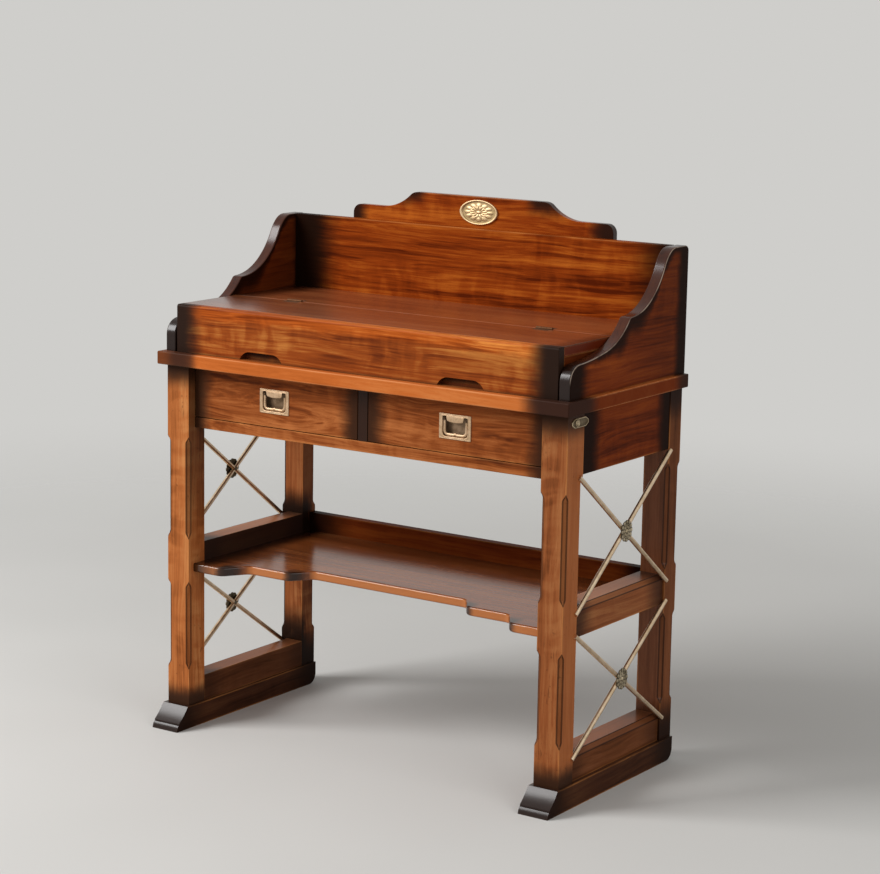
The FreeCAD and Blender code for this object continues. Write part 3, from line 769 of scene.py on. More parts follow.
@dataclass
class Shell:
    """A closed skin: points, four-sided faces, three-sided faces and the relief at each point."""

    points: np.ndarray
    quads: np.ndarray
    tris: np.ndarray
    relief: np.ndarray

    def volume(self) -> float:
        """Give the signed volume: the sum of the tetrahedra from the middle to every face."""
        corners = np.concatenate((self.quads[:, [0, 1, 2]], self.quads[:, [0, 2, 3]], self.tris))
        a, b, c = np.moveaxis((self.points - self.points.mean(0))[corners], 1, 0)
        return float(np.einsum("ij,ij->", a, np.cross(b, c)) / 6.0)

    def outward(self) -> "Shell":
        """Turn every face round if the skin is inside out."""
        if self.volume() >= 0.0:
            return self
        return Shell(self.points, self.quads[:, ::-1], self.tris[:, ::-1], self.relief)


def closed_skin(rows: np.ndarray, relief: Optional[np.ndarray] = None) -> Shell:
    """Join rings of points into a skin that ends in one point at each end.

    Ring i joins ring i + 1 all round; the middles of the first and last rings are the poles.

    Args:
        rows: rings of points, shaped rings by stations by 3.
        relief: relief at each point, shaped rings by stations.

    Returns:
        The closed skin with its faces outward.
    """
    rings, stations = rows.shape[:2]
    heights = np.ones((rings, stations)) if relief is None else relief
    points = np.concatenate((rows.reshape(-1, 3), rows[[0, -1]].mean(1)))
    values = np.concatenate((heights.reshape(-1), heights[[0, -1]].mean(1)))
    ring, station = np.meshgrid(np.arange(rings - 1), np.arange(stations), indexing="ij")
    after = (station + 1) % stations
    quads = np.stack((ring * stations + station, ring * stations + after,
                      (ring + 1) * stations + after, (ring + 1) * stations + station), -1).reshape(-1, 4)
    first, first_pole = np.arange(stations), np.full(stations, rings * stations)
    nearer = np.stack((first_pole, np.roll(first, -1), first), -1)
    last = (rings - 1) * stations + first
    farther = np.stack((first_pole + 1, last, np.roll(last, -1)), -1)
    return Shell(points, quads, np.concatenate((nearer, farther)), values).outward()


def lay(across: np.ndarray, along: np.ndarray, out: np.ndarray, origin: Point, axes: Axes) -> np.ndarray:
    """Carry a shape from its own three coordinates into the part's frame.

    Args:
        across: first coordinate in millimetres.
        along: second coordinate.
        out: third coordinate, away from what carries the piece.
        origin: the shape's zero in millimetres.
        axes: the directions of the three coordinates.

    Returns:
        Points in metres.
    """
    across, along, out = np.broadcast_arrays(across, along, out)
    return (np.array(origin) + np.stack((across, along, out), -1) @ np.array(axes, float)) * MM


def swell(value: np.ndarray, start: float, end: Union[float, np.ndarray], power: float = 1.0) -> np.ndarray:
    """Rise and fall as half a sine between two places, fuller with a power below 1."""
    return np.sin(np.pi * np.clip((value - start) / (end - start), 0.0, 1.0)) ** power


def box_mm(node: str) -> Tuple[np.ndarray, np.ndarray, np.ndarray]:
    """Give a node's lowest and highest corners and its middle, in millimetres."""
    low, high = (np.array(corner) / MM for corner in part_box(node))
    return low, high, (low + high) / 2


def around(stations: int) -> np.ndarray:
    """Give evenly spaced angles of a full turn, the last one before the first again, as one row."""
    return np.linspace(0.0, 2.0 * math.pi, stations, endpoint=False)[None, :]


@dataclass(frozen=True)
class Disc:
    """A grid over a disc: rings from near its middle to its rim, and stations round it."""

    rings: int
    stations: int
    start: float

    @property
    def rho(self) -> np.ndarray:
        """Give the rings' shares of the rim, as one column."""
        return np.linspace(self.start, 1.0, self.rings)[:, None]

    @property
    def turn(self) -> np.ndarray:
        """Give the stations' angles, as one row."""
        return around(self.stations)

    def petals(self, count: int, power: float, phase: float = 0.0) -> np.ndarray:
        """Part the disc into petals by the cosine of the angle, fuller with a power below 1."""
        return np.abs(np.cos(count / 2 * self.turn - phase)) ** power

    def boss(self, reach: float) -> np.ndarray:
        """Raise a round boss over the middle, as far as a share of the rim."""
        return np.clip(1 - (self.rho / reach) ** 2, 0, 1) ** 0.6

    def skin(self, height: np.ndarray, relief: np.ndarray, half: Sequence[float],
             under: Point, origin: Point, axes: Axes) -> Shell:
        """Close a face that is a height over the disc.

        A point at share r and angle t lies r cos t of the half width across and r sin t of the half
        height along. Two level rings behind the face close it.

        Args:
            height: the face's height at each point.
            relief: the face's relief at each point.
            half: half width and half height of the rim.
            under: behind the face, the inner ring's share of the rim, the height and the relief.
            origin: the disc's middle in millimetres.
            axes: the directions across, along and out.

        Returns:
            The closed skin.
        """
        inner, level, dim = under
        spread = np.concatenate((self.rho, [[1.0], [inner]]))
        out = np.concatenate((height, np.full((2, self.stations), level)))
        shade = np.concatenate((relief, np.full((2, self.stations), dim)))
        across, along = spread * half[0] * np.cos(self.turn), spread * half[1] * np.sin(self.turn)
        return closed_skin(lay(across, along, out, origin, axes), shade)


@dataclass
class Ornament:
    """A brass piece made of closed skins, which rides on a body and stands in for the node's solid."""

    node: str
    body: str = "frame"
    word: str = "chased"
    slot: str = "ornament_brass"
    crease: float = 35.0
    stands_in: bool = True

    def skins(self) -> List[Shell]:
        """Work out the piece's skins."""
        raise NotImplementedError

    def build(self, material: Material) -> None:
        """Put the skins into one mesh, dress it and let it ride on its body.

        Args:
            material: the piece's finish.
        """
        skins = self.skins()
        starts = np.cumsum([0] + [len(skin.points) for skin in skins[:-1]])
        faces: List[List[int]] = []
        for skin, start in zip(skins, starts):
            faces += (skin.quads + start).tolist() + (skin.tris + start).tolist()
        name = f"{self.node}_{self.word}"
        mesh = bpy.data.meshes.new(name)
        mesh.from_pydata(np.concatenate([skin.points for skin in skins]).tolist(), [], faces)
        values = np.concatenate([skin.relief for skin in skins]).astype(np.float32)
        mesh.attributes.new("relief", "FLOAT", "POINT").data.foreach_set("value", values)
        mesh.polygons.foreach_set("use_smooth", np.ones(len(mesh.polygons), bool))
        mesh.set_sharp_from_angle(angle=math.radians(self.crease))
        mesh.materials.append(material)
        mesh.update()
        piece = add_object(name, mesh)
        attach(piece, self.body)
        if self.stands_in:
            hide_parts(self.node)
        LOG.info("%s: %d faces on %s", name, len(mesh.polygons), self.body)


def add_object(name: str, data: bpy.types.ID) -> bpy.types.Object:
    """Add a mesh, lamp or camera to the scene.

    Args:
        name: the object's name.
        data: what it holds.

    Returns:
        The new object.
    """
    made = bpy.data.objects.new(name, data)
    bpy.context.scene.collection.objects.link(made)
    return made


@dataclass
class Rosette(Ornament):
    """A scalloped brass rosette over the crossing of two rods, with its rivet behind."""

    lobes: int = 12
    petals: int = 8
    notch: float = 0.085
    thick: float = 3.8
    rivet_radius: float = 2.0
    head_radius: float = 4.0
    head_thick: float = 1.5
    head_bevel: float = 0.6
    back_relief: float = 0.35
    disc: Disc = Disc(46, 168, 0.02)

    def skins(self) -> List[Shell]:
        """Work out the rosette.

        Its face is a height over a disc: a shallow dome with a boss, a ring of petals, a groove and
        an outer ring of lobes. The rim is scalloped by the cosine of the lobe count times the angle,
        and the rivet's profile is turned behind it.

        Returns:
            Its one skin.
        """
        low, high, middle = box_mm(self.node)
        side = math.copysign(1.0, middle[0])
        outer = high[0] if side > 0 else low[0]
        inside = high[0] - low[0] - self.thick
        disc, rho, turn = self.disc, self.disc.rho, self.disc.turn
        lobe, petal = disc.petals(self.lobes, 0.65), disc.petals(self.petals, 0.8)
        rim = (high[2] - low[2]) / 2 * (1.0 - self.notch * (1.0 - lobe))
        height = (1.35 - 0.55 * rho ** 2 + 2.45 * disc.boss(0.2)
                  + 1.25 * petal * swell(rho, 0.22, 0.58, 0.8) + 0.9 * swell(rho, 0.57, 0.68, 0.8)
                  + 1.35 * lobe * swell(rho, 0.66, 1.06, 0.75))
        height = np.minimum(height, self.thick)
        relief = np.clip((height - 1.0) / 1.5, 0.0, 1.0)
        rivet, head, seat = self.rivet_radius, self.head_radius, self.head_thick - inside
        profile = np.array([(1.0, 0.0, 0.0), (0.0, rivet, 0.0), (0.0, rivet, seat), (0.0, head, seat),
                            (0.0, head * 0.86, self.head_bevel - inside), (0.0, head * 0.4, -inside)])
        spread = np.concatenate((rho * rim, profile[:, :1] * rim + profile[:, 1:2]))
        out = np.concatenate((height, np.repeat(profile[:, 2:], disc.stations, 1)))
        shade = np.concatenate((relief, np.full((len(profile), disc.stations), self.back_relief)))
        centre = (outer - side * self.thick, middle[1], middle[2])
        axes = ((0, 1, 0), (0, 0, 1), (side, 0, 0))
        return [closed_skin(lay(spread * np.cos(turn), spread * np.sin(turn), out, centre, axes), shade)]


@dataclass
class Medallion(Ornament):
    """The oval brass patera on the crest: moulded rim, plain dished field and a leaved rosette."""

    node: str = "crest_medallion"
    word: str = "patera"
    leaves: int = 12
    rim_margin: float = 1.4
    field_rise: float = 1.5
    disc: Disc = Disc(96, 360, 0.01)

    def skins(self) -> List[Shell]:
        """Work out the patera.

        Its face is a height over an ellipse: a flat-topped rim, a dished field, two rows of leaves
        that swell and part by a cosine of the angle, and a domed boss.

        Returns:
            Its one skin.
        """
        low, high, middle = box_mm(self.node)
        half = (high - low)[[0, 2]] / 2 - self.rim_margin
        thick = high[1] - low[1]
        rho = self.disc.rho
        outer_leaf, inner_leaf = (self.disc.petals(self.leaves, 0.6, phase) for phase in (0.0, math.pi / 2))
        height = (self.field_rise - 0.5 * swell(rho, 0.5, 1.0)
                  + (thick - self.field_rise) * swell(rho, 0.88, 1.02, 0.3)
                  + 1.35 * outer_leaf * swell(rho, 0.36, 0.62 + 0.16 * outer_leaf, 0.7)
                  + 1.5 * inner_leaf * swell(rho, 0.14, 0.40 + 0.08 * inner_leaf, 0.7)
                  + 2.4 * self.disc.boss(0.15))
        height = np.minimum(height, thick)
        relief = np.clip((height - 0.7) / (thick - 1.7), 0.0, 1.0)
        centre = (middle[0], high[1], middle[2])
        return [self.disc.skin(height, relief, half, (0.5, 0.0, 0.5), centre, FRONT)]


def rounded_rings(half_width: np.ndarray, half_height: np.ndarray, upper: np.ndarray, lower: np.ndarray,
                  per_corner: int = 9) -> Tuple[np.ndarray, np.ndarray]:
    """Draw rings of rounded rectangles: a quarter circle at each corner, joined by the sides.

    Args:
        half_width: half the width of each ring.
        half_height: half the height of each ring.
        upper: the radius of each ring's two upper corners.
        lower: the radius of each ring's two lower corners.
        per_corner: stations at each corner.

    Returns:
        Across and along coordinates, rings by stations.
    """
    quarter = np.linspace(0.0, math.pi / 2, per_corner)
    turn = (quarter[None, :] + np.arange(4)[:, None] * math.pi / 2).reshape(1, -1)
    middle = (np.arange(4) * math.pi / 2 + math.pi / 4)[:, None].repeat(per_corner, 1).reshape(1, -1)
    wide, tall = half_width[:, None], half_height[:, None]
    round_ = np.where(np.sin(middle) > 0, upper[:, None], lower[:, None])
    return (np.sign(np.cos(middle)) * (wide - round_) + round_ * np.cos(turn),
            np.sign(np.sin(middle)) * (tall - round_) + round_ * np.sin(turn))


def squared(wave: np.ndarray) -> np.ndarray:
    """Square a sine or cosine off: its root, with its sign."""
    return np.sign(wave) * np.abs(wave) ** 0.5


@dataclass
class PullPlate(Ornament):
    """A flush drawer pull's plate: bevelled border, raised rim, deep pan and a lobed lip."""

    word: str = "pressed"
    slot: str = "pull_brass"
    crease: float = 50.0
    pan_half_width: float = 28.0
    pan_half_height: float = 19.0
    pan_depth: float = 13.0
    pan_foot_round: float = 8.0
    wall: float = 1.5
    lip_half_width: float = 19.4
    lip_shoulder: float = 8.5
    lip_drop: float = 11.0
    lip_thick: float = 1.6
    lip_end: float = 0.10
    lip_rings: int = 49
    lip_stations: int = 24

    def plate(self, centre: Point, half_width: float, half_height: float) -> Shell:
        """Carry the plate's profile round a rounded rectangle.

        Each row of the profile is a ring: half width, half height, upper and lower corner radius,
        depth behind the face, and relief.

        Args:
            centre: middle of the plate's face.
            half_width: half the plate's width.
            half_height: half the plate's height.

        Returns:
            The plate's skin.
        """
        pan_w, pan_h, deep, wall = self.pan_half_width, self.pan_half_height, self.pan_depth, self.wall
        foot = self.pan_foot_round
        profile = np.array([
            (1.0, 1.0, 0.5, 0.5, deep + wall, 0.4),
            (pan_w + wall - 4, pan_h + wall - 4, 2.5, 6.0, deep + wall, 0.4),
            (pan_w + wall, pan_h + wall, 4.5, foot + 1.5, deep + wall - 3, 0.4),
            (pan_w + wall, pan_h + wall, 4.5, foot + 1.5, 2.0, 0.4),
            (half_width, half_height, 2.2, 2.2, 2.0, 0.6), (half_width, half_height, 2.2, 2.2, 0.75, 0.9),
            (half_width - 0.5, half_height - 0.5, 2.2, 2.2, 0.25, 1.0),
            (half_width - 1.4, half_height - 1.3, 2.0, 2.0, 0.08, 1.0),
            (half_width - 2.3, half_height - 1.9, 1.8, 2.4, 0.30, 0.75),
            (pan_w + 3.0, pan_h + 2.4, 2.6, 4.0, 0.42, 0.72),
            (pan_w + 2.4, pan_h + 1.9, 2.8, 5.5, 0.22, 0.95), (pan_w + 1.7, pan_h + 1.4, 3.0, 7.0, 0.0, 1.0),
            (pan_w + 0.7, pan_h + 0.6, 3.0, foot, 0.06, 1.0), (pan_w + 0.1, pan_h + 0.1, 3.0, foot, 0.7, 0.9),
            (pan_w, pan_h, 3.0, foot, 2.4, 0.62), (pan_w, pan_h, 3.0, foot, deep - 3.4, 0.42),
            (pan_w - 0.9, pan_h - 0.9, 3.0, foot - 0.6, deep - 1.2, 0.22),
            (pan_w - 3.0, pan_h - 3.0, 2.5, foot - 2.0, deep - 0.1, 0.30),
            (pan_w - 8.0, pan_h - 8.0, 2.0, 3.5, deep, 0.36), (2.0, 1.2, 0.6, 0.6, deep, 0.38)])
        across, along = rounded_rings(*profile[:, :4].T)
        rows = lay(across, along, -profile[:, 4:5], centre, FRONT)
        return closed_skin(rows, np.broadcast_to(profile[:, 5:], across.shape))

    def lip(self, centre: Point) -> Shell:
        """Carry a squared section across the pan's top, its lower edge a shallow sag between two corners.

        Args:
            centre: middle of the plate's face.

        Returns:
            The lip's skin.
        """
        u = np.linspace(-1.0, 1.0, self.lip_rings)[:, None]
        drop = self.lip_shoulder + (self.lip_drop - self.lip_shoulder) * (1 - u ** 2)
        drop = drop * np.clip((1 - np.abs(u)) / self.lip_end, 0, 1) ** 0.5
        turn = around(self.lip_stations)
        half = np.maximum(drop, 0.4) / 2 + 0.4
        along = self.pan_half_height + 0.6 - half + half * squared(np.sin(turn))
        out = self.lip_thick / 2 * (squared(np.cos(turn)) - 1.0) - 0.1
        return closed_skin(lay(u * self.lip_half_width, along, out, centre, FRONT))

    def skins(self) -> List[Shell]:
        """Work out the plate and its lip.

        Returns:
            The two skins.
        """
        low, high, middle = box_mm(self.node)
        centre = (middle[0], low[1], middle[2])
        half_width, _, half_height = (high - low) / 2
        return [self.plate(centre, half_width, half_height), self.lip(centre)]


@dataclass
class Bail(Ornament):
    """A swinging bail handle: a round bar that turns down from two pivots and swells at its middle."""

    word: str = "turned"
    slot: str = "pull_brass"
    crease: float = 60.0
    half_span: float = 24.4
    pivot_radius: float = 2.0
    arm_radius: float = 2.5
    knob_radius: float = 3.0
    bar_radius: float = 3.0
    knee: float = 2.6
    corner: float = 8.0
    cusp_rise: float = 1.3
    cusp_width: float = 2.2
    stations: int = 28

    def path(self, reach: float, drop: float) -> Tuple[np.ndarray, np.ndarray]:
        """Draw the bar's middle line from one pivot to the other with its radius.

        The line runs in from the pivot, turns down the arm, rounds the lower corner and crosses.

        Args:
            reach: half the length between the pivots' outer ends.
            drop: how far the crossing bar hangs below the pivots.

        Returns:
            Points across and down, and the radius at each.
        """
        bend = np.linspace(0.0, math.pi / 2, 16)
        knee, corner, half_span = self.knee, self.corner, self.half_span
        top = np.stack((-half_span - knee + knee * np.sin(bend), -knee + knee * np.cos(bend)), -1)
        arm = np.stack((np.full(8, -half_span), np.linspace(-knee - 0.5, -drop + corner + 0.3, 8)), -1)
        foot = np.stack((-half_span + corner - corner * np.cos(bend),
                         -drop + corner - corner * np.sin(bend)), -1)
        bar_x = np.linspace(-half_span + corner + 0.6, 0.0, 26)
        cusp = self.cusp_rise * np.exp(-(bar_x / self.cusp_width) ** 2)
        bar = np.stack((bar_x, -drop + cusp), -1)
        stub = np.stack((np.linspace(-reach, -half_span - knee - 0.3, 6), np.zeros(6)), -1)
        half = np.concatenate((stub, top, arm, foot, bar))
        knob = self.arm_radius + (self.knob_radius - self.arm_radius) * np.exp(-(half[:, 1] / knee) ** 2)
        lower = np.clip((-half[:, 1] - drop * 0.45) / (drop * 0.4), 0.0, 1.0)
        radius = np.where(half[:, 0] < -half_span - knee * 0.6, self.pivot_radius,
                          knob + (self.bar_radius - knob) * lower)
        both = np.concatenate((half, (half * (-1, 1))[-2::-1]))
        return both, np.concatenate((radius, radius[-2::-1]))

    def skins(self) -> List[Shell]:
        """Carry a circle along the bar's line.

        Returns:
            Its one skin.
        """
        low, high, middle = box_mm(self.node)
        pivot = (middle[0], middle[1], high[2] - self.knob_radius)
        line, radius = self.path((high[0] - low[0]) / 2, pivot[2] - low[2] - self.bar_radius)
        heading = np.gradient(line, axis=0)
        heading /= np.linalg.norm(heading, axis=1, keepdims=True)
        turn = around(self.stations)
        side, out = radius[:, None] * np.cos(turn), radius[:, None] * np.sin(turn)
        across = line[:, :1] - heading[:, 1:] * side
        along = line[:, 1:] + heading[:, :1] * side
        shade = np.clip((-line[:, 1:] - 2.0) / 4.0, 0.05, 1.0) * np.ones_like(turn)
        return [closed_skin(lay(across, along, out, pivot, FRONT), shade)]


@dataclass
class HingeScrews(Ornament):
    """The three slotted screws of one hinge leaf."""

    word: str = "screws"
    crease: float = 30.0
    stands_in: bool = False
    radius: float = 2.1
    crown: float = 0.35
    slot_half: float = 0.17
    slot_floor: float = 0.02
    edge_set: float = 6.5
    end_set: float = 6.0
    leaf_length: float = 36.0
    disc: Disc = Disc(14, 48, 0.06)

    def head(self, centre: Point, slot_turn: float) -> Shell:
        """Shape a countersunk screw head: a low dome over a disc with a straight slot across it.

        Args:
            centre: middle of the head on the surface it is set in.
            slot_turn: the slot's direction in radians.

        Returns:
            The head's skin.
        """
        rho, half = self.disc.rho, (self.radius, self.radius)
        cut = np.abs(rho * np.sin(self.disc.turn - slot_turn)) < self.slot_half
        height = np.where(cut, self.slot_floor, self.crown * (1.0 - 0.75 * rho ** 2))
        relief = np.where(cut, 0.1, 0.95)
        upward = ((1, 0, 0), (0, 1, 0), (0, 0, 1))
        return self.disc.skin(height, relief, half, (0.6, -0.6, 0.4), centre, upward)

    def skins(self) -> List[Shell]:
        """Set the screws along the leaf, in from the edge that lies away from the pin.

        Returns:
            The screws' skins.
        """
        low, high, middle = box_mm(self.node)
        depth = low[1] + self.edge_set if self.body == "lid" else high[1] - self.edge_set
        top = box_mm("lid_top")[1][2]
        run, seed = self.leaf_length / 2 - self.end_set, 0.4 * len(self.node)
        return [self.head((middle[0] + place * run, depth, top), seed + 1.9 * place)
                for place in (-1.0, 0.0, 1.0)]


@dataclass
class Badge(Ornament):
    """The bare octagonal brass plate on the right leg, with a bevelled rim and a turned boss."""

    node: str = "right_leg_badge"
    word: str = "plate"
    cut_along: float = 9.0
    cut_rise: float = 6.0
    rim: float = 1.5
    field_set: float = 8.6
    boss_radius: float = 6.5
    boss_set: float = 18.0
    boss_foot: float = 0.9
    boss_petals: int = 8
    disc: Disc = Disc(30, 72, 0.03)

    def skins(self) -> List[Shell]:
        """Carry the rim's profile round the octagon and turn the boss on its face.

        Each row of the profile is a ring: its distance in from the edge, its height and its relief.

        Returns:
            The skins of the plate and the boss.
        """
        low, high, middle = box_mm(self.node)
        half = (high - low)[1:] / 2
        side = np.array([(1, -1), (1, 1), (1, 1), (-1, 1), (-1, 1), (-1, -1), (-1, -1), (1, -1)])
        cut = np.array([(0, 1), (0, 1), (1, 0), (1, 0), (0, 1), (0, 1), (1, 0), (1, 0)])
        corners = side * (half - np.array([self.cut_along, self.cut_rise]) * cut)
        steps = np.linspace(0.0, 1.0, 5)[:-1, None]
        outline = (corners[:, None] * (1 - steps) + np.roll(corners, -1, 0)[:, None] * steps).reshape(-1, 2)
        profile = np.array([(self.field_set, 0.0, 0.5), (0.0, 0.0, 0.5), (0.0, 1.1, 0.9), (0.7, 1.9, 1.0),
                            (self.rim, 2.0, 1.0), (self.rim + 0.4, 1.65, 0.2), (self.rim + 0.8, 1.5, 0.24),
                            (self.field_set, 1.5, 0.34)])
        shrink = 1.0 - profile[:, :1, None] / (half + np.array([0.0, 0.01]))
        rings = outline[None] * np.clip(shrink, 0.02, 1.0)
        axes = ((0, 1, 0), (0, 0, 1), (1, 0, 0))
        rows = lay(rings[..., 0], rings[..., 1], profile[:, 1:2], (low[0], middle[1], middle[2]), axes)
        plate = closed_skin(rows, np.broadcast_to(profile[:, 2:], rings.shape[:2]))
        rho, petal = self.disc.rho, self.disc.petals(self.boss_petals, 0.8)
        height = (1.7 + 0.8 * swell(rho, 0.78, 1.02, 0.7) + 0.75 * petal * swell(rho, 0.25, 0.76, 0.7)
                  + 1.4 * self.disc.boss(0.24))
        height = np.minimum(height, high[0] - low[0])
        relief = np.clip((height - 1.7) / 0.8, 0.0, 1.0)
        boss_centre = (low[0], low[1] + self.boss_set, middle[2])
        boss_half = (self.boss_radius, self.boss_radius)
        boss = self.disc.skin(height, relief, boss_half, (0.5, self.boss_foot, 0.5), boss_centre, axes)
        return [plate, boss]


def dress_node(name: str, material: Material) -> None:
    """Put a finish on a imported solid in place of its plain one.

    Args:
        name: the solid's node.
        material: its finish.
    """
    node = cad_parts[name]
    node.data.materials.clear()
    node.data.materials.append(material)
    LOG.info("%s: %s", name, material.name)


@dataclass(frozen=True)
class Board:
    """Boards that share one finish, with their dark places."""

    names: Tuple[str, ...]
    timber: Timber
    grain: Axis
    shades: Tuple[Shade, ...] = ()


def pair(word: str) -> Tuple[str, ...]:
    """Name the left and right nodes of one word."""
    return tuple(f"{side}_{word}" for side in SIDES)


@dataclass
class Woodwork:
    """Every board of the desk with its timber, grain and dark places: burnished finish and painted shade."""

    leg_ends: Tuple[Shade, ...] = ends(Z, (743, 684), (50, 95))
    # Painted shade on the legs' stopped chamfers.
    front_chamfers: Chamfers = Chamfers(((467.0, -189.5), (413.0, -189.5)))
    rear_chamfers: Chamfers = Chamfers(((467.0, 186.5), (467.0, 230.5), (413.0, 230.5)))
    grain_step: float = 1.37

    def rail_shades(self, top: float, depth: float) -> Tuple[Shade, ...]:
        """Shade a side rail: its dim ends, and painted shade lines along its upper corner's chamfer at height
        top.
        """
        lines = Chamfers(((462.5, top),), ((-180.0, 230.0),), (X, Z, Y), 9.0, flat_depth=0.0)
        return (*ends(Y, (-130, -60), (190, 105), depth), lines)

    def boards(self) -> Tuple[Board, ...]:
        """List the boards, with places in millimetres.

        Returns:
            The boards, in the order of their grains.
        """
        front = (*self.leg_ends, self.front_chamfers)
        rear = (*ends(Z, (738, 664), (60, 140), 0.95), self.rear_chamfers)
        return (
            # Inward shades paint shade on the inner faces of the left legs, the rails and the gallery sides.
            Board(("left_front_leg",), Timber.LIT_LEG, Z, (*front, InwardShade(0.42, ((Z, 600, 340),)))),
            Board(("right_front_leg",), Timber.BROWN_LEG, Z, front),
            Board(("left_rear_leg",), Timber.REAR_LEG, Z,
                  (*rear, patch((Z, 112, 190), (Y, 188, 202), depth=0.9), InwardShade(0.14),
                   patch(*ridge(Z, 330, 384, 56), (Y, 202, 226), depth=0.95))),
            Board(("right_rear_leg",), Timber.BROWN, Z, rear),
            Board(pair("foot"), Timber.DARK, Y, ends(Y, (-230, -130), (226, 120), 0.8)),
            Board(pair("bottom_rail"), Timber.BROWN, Y, (*self.rail_shades(100.0, 0.35), InwardShade(0.22))),
            Board(pair("shelf_rail"), Timber.RAIL, Y, (*self.rail_shades(380.0, 0.62), InwardShade(0.72))),
            Board(pair("apron"), Timber.RED, Y, ends(Y, (-114, -60), (176, 128))),
            # The shelf darkens at its front edge's ogees, with painted shadow along the left rail and painted
            # shade towards the back.
            Board(("shelf",), Timber.SHELF, X,
                  (patch(*ridge(X, 186, 212, 20), (Y, -110, -84), depth=0.8),
                   patch(*ridge(X, 314, 342, 20), (Y, -158, -128), depth=0.8),
                   patch((SIDE, -413, -340), depth=0.7), patch((Y, 200, 110), depth=0.3))),
            Board(("shelf_back_rail",), Timber.RED, X,
                  (*ends(SIDE, (-405, -280), (405, 345), 0.9), patch(depth=0.16))),
            Board(("case_floor",), Timber.DRAWER, X, ends(SIDE, (-412, -370), (410, 362))),
            Board(("case_back",), Timber.RED, X, ends(SIDE, (-405, -360), (405, 360))),
            Board(("centre_partition",), Timber.BROWN, Z, (patch((Y, -100, -40), depth=0.8),)),
            Board(("waist_board",), Timber.EDGE, X,
                  (patch((SIDE, -398, -370), (Y, -150, -70), depth=0.5),
                   patch(*ridge(SIDE, -428, -414, 42), (Y, -150, -70), depth=0.6),
                   patch((SIDE, 420, 366), (Y, -150, -90), depth=0.94),
                   patch((X, 455, 420), (Y, 225, 170), depth=0.94),
                   # Painted shadow along the foot of the lid front.
                   patch((Y, -191, -196), (X, 446, 449), depth=0.3))),
            Board(pair("gallery_side"), Timber.CURVED, Y,
                  # Painted shade grows towards the rear of each side.
                  (*ends(Y, (-170, -114), (215, 184)), patch((Y, 200, -60), depth=0.2), CurvedEdge(),
                   InwardShade(0.18))),
            # Burnished ends; the left one is deepened by painted shade in the corner by the left gallery
            # side.
            Board(("gallery_back",), Timber.GALLERY, X, ends(SIDE, (-412, -318), (472, 345), 0.97)),
            Board(("crest_board",), Timber.CREST, X,
                  (*ends(SIDE, (-306, -262), (298, 244), 0.95),
                   patch(*ridge(SIDE, -176, -156, 34), (Z, 1080, 1046), depth=0.85),
                   patch(*ridge(SIDE, 142, 172, 40), (Z, 1078, 1036), depth=0.85))),
            Board(("rear_top",), Timber.TOP, X, ends(SIDE, (-446, -350), (446, 405), 0.75)),
            # A painted reflection of the left gallery side darkens the left part; the right end of the top
            # face darkens.
            Board(("lid_top",), Timber.TOP, X,
                  (patch((SIDE, -560, -260), depth=0.6),
                   patch((SIDE, 446, 400), (Z, 864.8, 863), depth=0.6))),
            Board(("lid_front",), Timber.FIGURED, X,
                  (*ends(SIDE, (-434, -372), (427, 370)),
                   # A dark line along the bottom edge, and painted shade below a lit band at the top.
                   patch((Z, 771, 776), depth=0.24), patch((Z, 835, 853), depth=0.21),
                   # Painted shade inside the scoops, darker towards their tops.
                   patch((Y, -187.2, -188.2), (Z, 788, 791), (Z, 787, 760), depth=0.72))),
            Board(pair("lid_cheek"), Timber.RED, Y, (patch(depth=0.24),)),
            Board(pair("drawer_front"), Timber.DRAWER, X, ends(X, (12, 64), (413, 358))),
            Board(pair("drawer_inner_side"), Timber.LINING, Y),
            Board(pair("drawer_outer_side"), Timber.LINING, Y),
            Board(pair("drawer_back"), Timber.LINING, X),
            Board(pair("drawer_bottom"), Timber.LINING, X),
        )

    def dress(self) -> None:
        """Give every board its own grain, with its box folded to the right side."""
        for number, board in enumerate(self.boards()):
            low, high = (np.array(corner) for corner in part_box(board.names[-1]))
            if low[0] < 0.0 < high[0]:
                low[0] = -high[0]
            elif high[0] <= 0.0:
                low[0], high[0] = -high[0], -low[0]
            word = board.names[-1].replace("right_", "") if len(board.names) > 1 else board.names[0]
            material = WoodFinish(word + "_wood", board.timber, board.grain, board.shades,
                                  self.grain_step * number, low, high).material()
            for name in board.names:
                dress_node(name, material)


@dataclass
class Hardware:
    """All the brass of the desk."""

    brace_words: Tuple[str, ...] = ("fore_brace", "aft_brace")
    leaf_bodies: Tuple[Tuple[str, str], ...] = (("lid", "lid"), ("fixed", "frame"))

    def build(self) -> None:
        """Dress the rods and hinges, and build the ornaments, pulls and screws."""
        made = {brass: brass.value.material() for brass in Brass}
        for side in SIDES:
            for level in LEVELS:
                for word in self.brace_words:
                    dress_node(f"{side}_{level}_{word}", made[Brass.ROD])
                Rosette(f"{side}_{level}_rosette").build(made[Brass.ORNAMENT])
            PullPlate(f"{side}_pull_plate", f"{side}_drawer").build(made[Brass.PULL])
            Bail(f"{side}_pull_bail", f"{side}_bail").build(made[Brass.PULL])
            for leaf, body in self.leaf_bodies:
                node = f"{side}_hinge_{leaf}_leaf"
                dress_node(node, made[Brass.HINGE])
                HingeScrews(node, body).build(made[Brass.HINGE])
        Medallion().build(made[Brass.MEDALLION])
        Badge().build(made[Brass.BADGE])


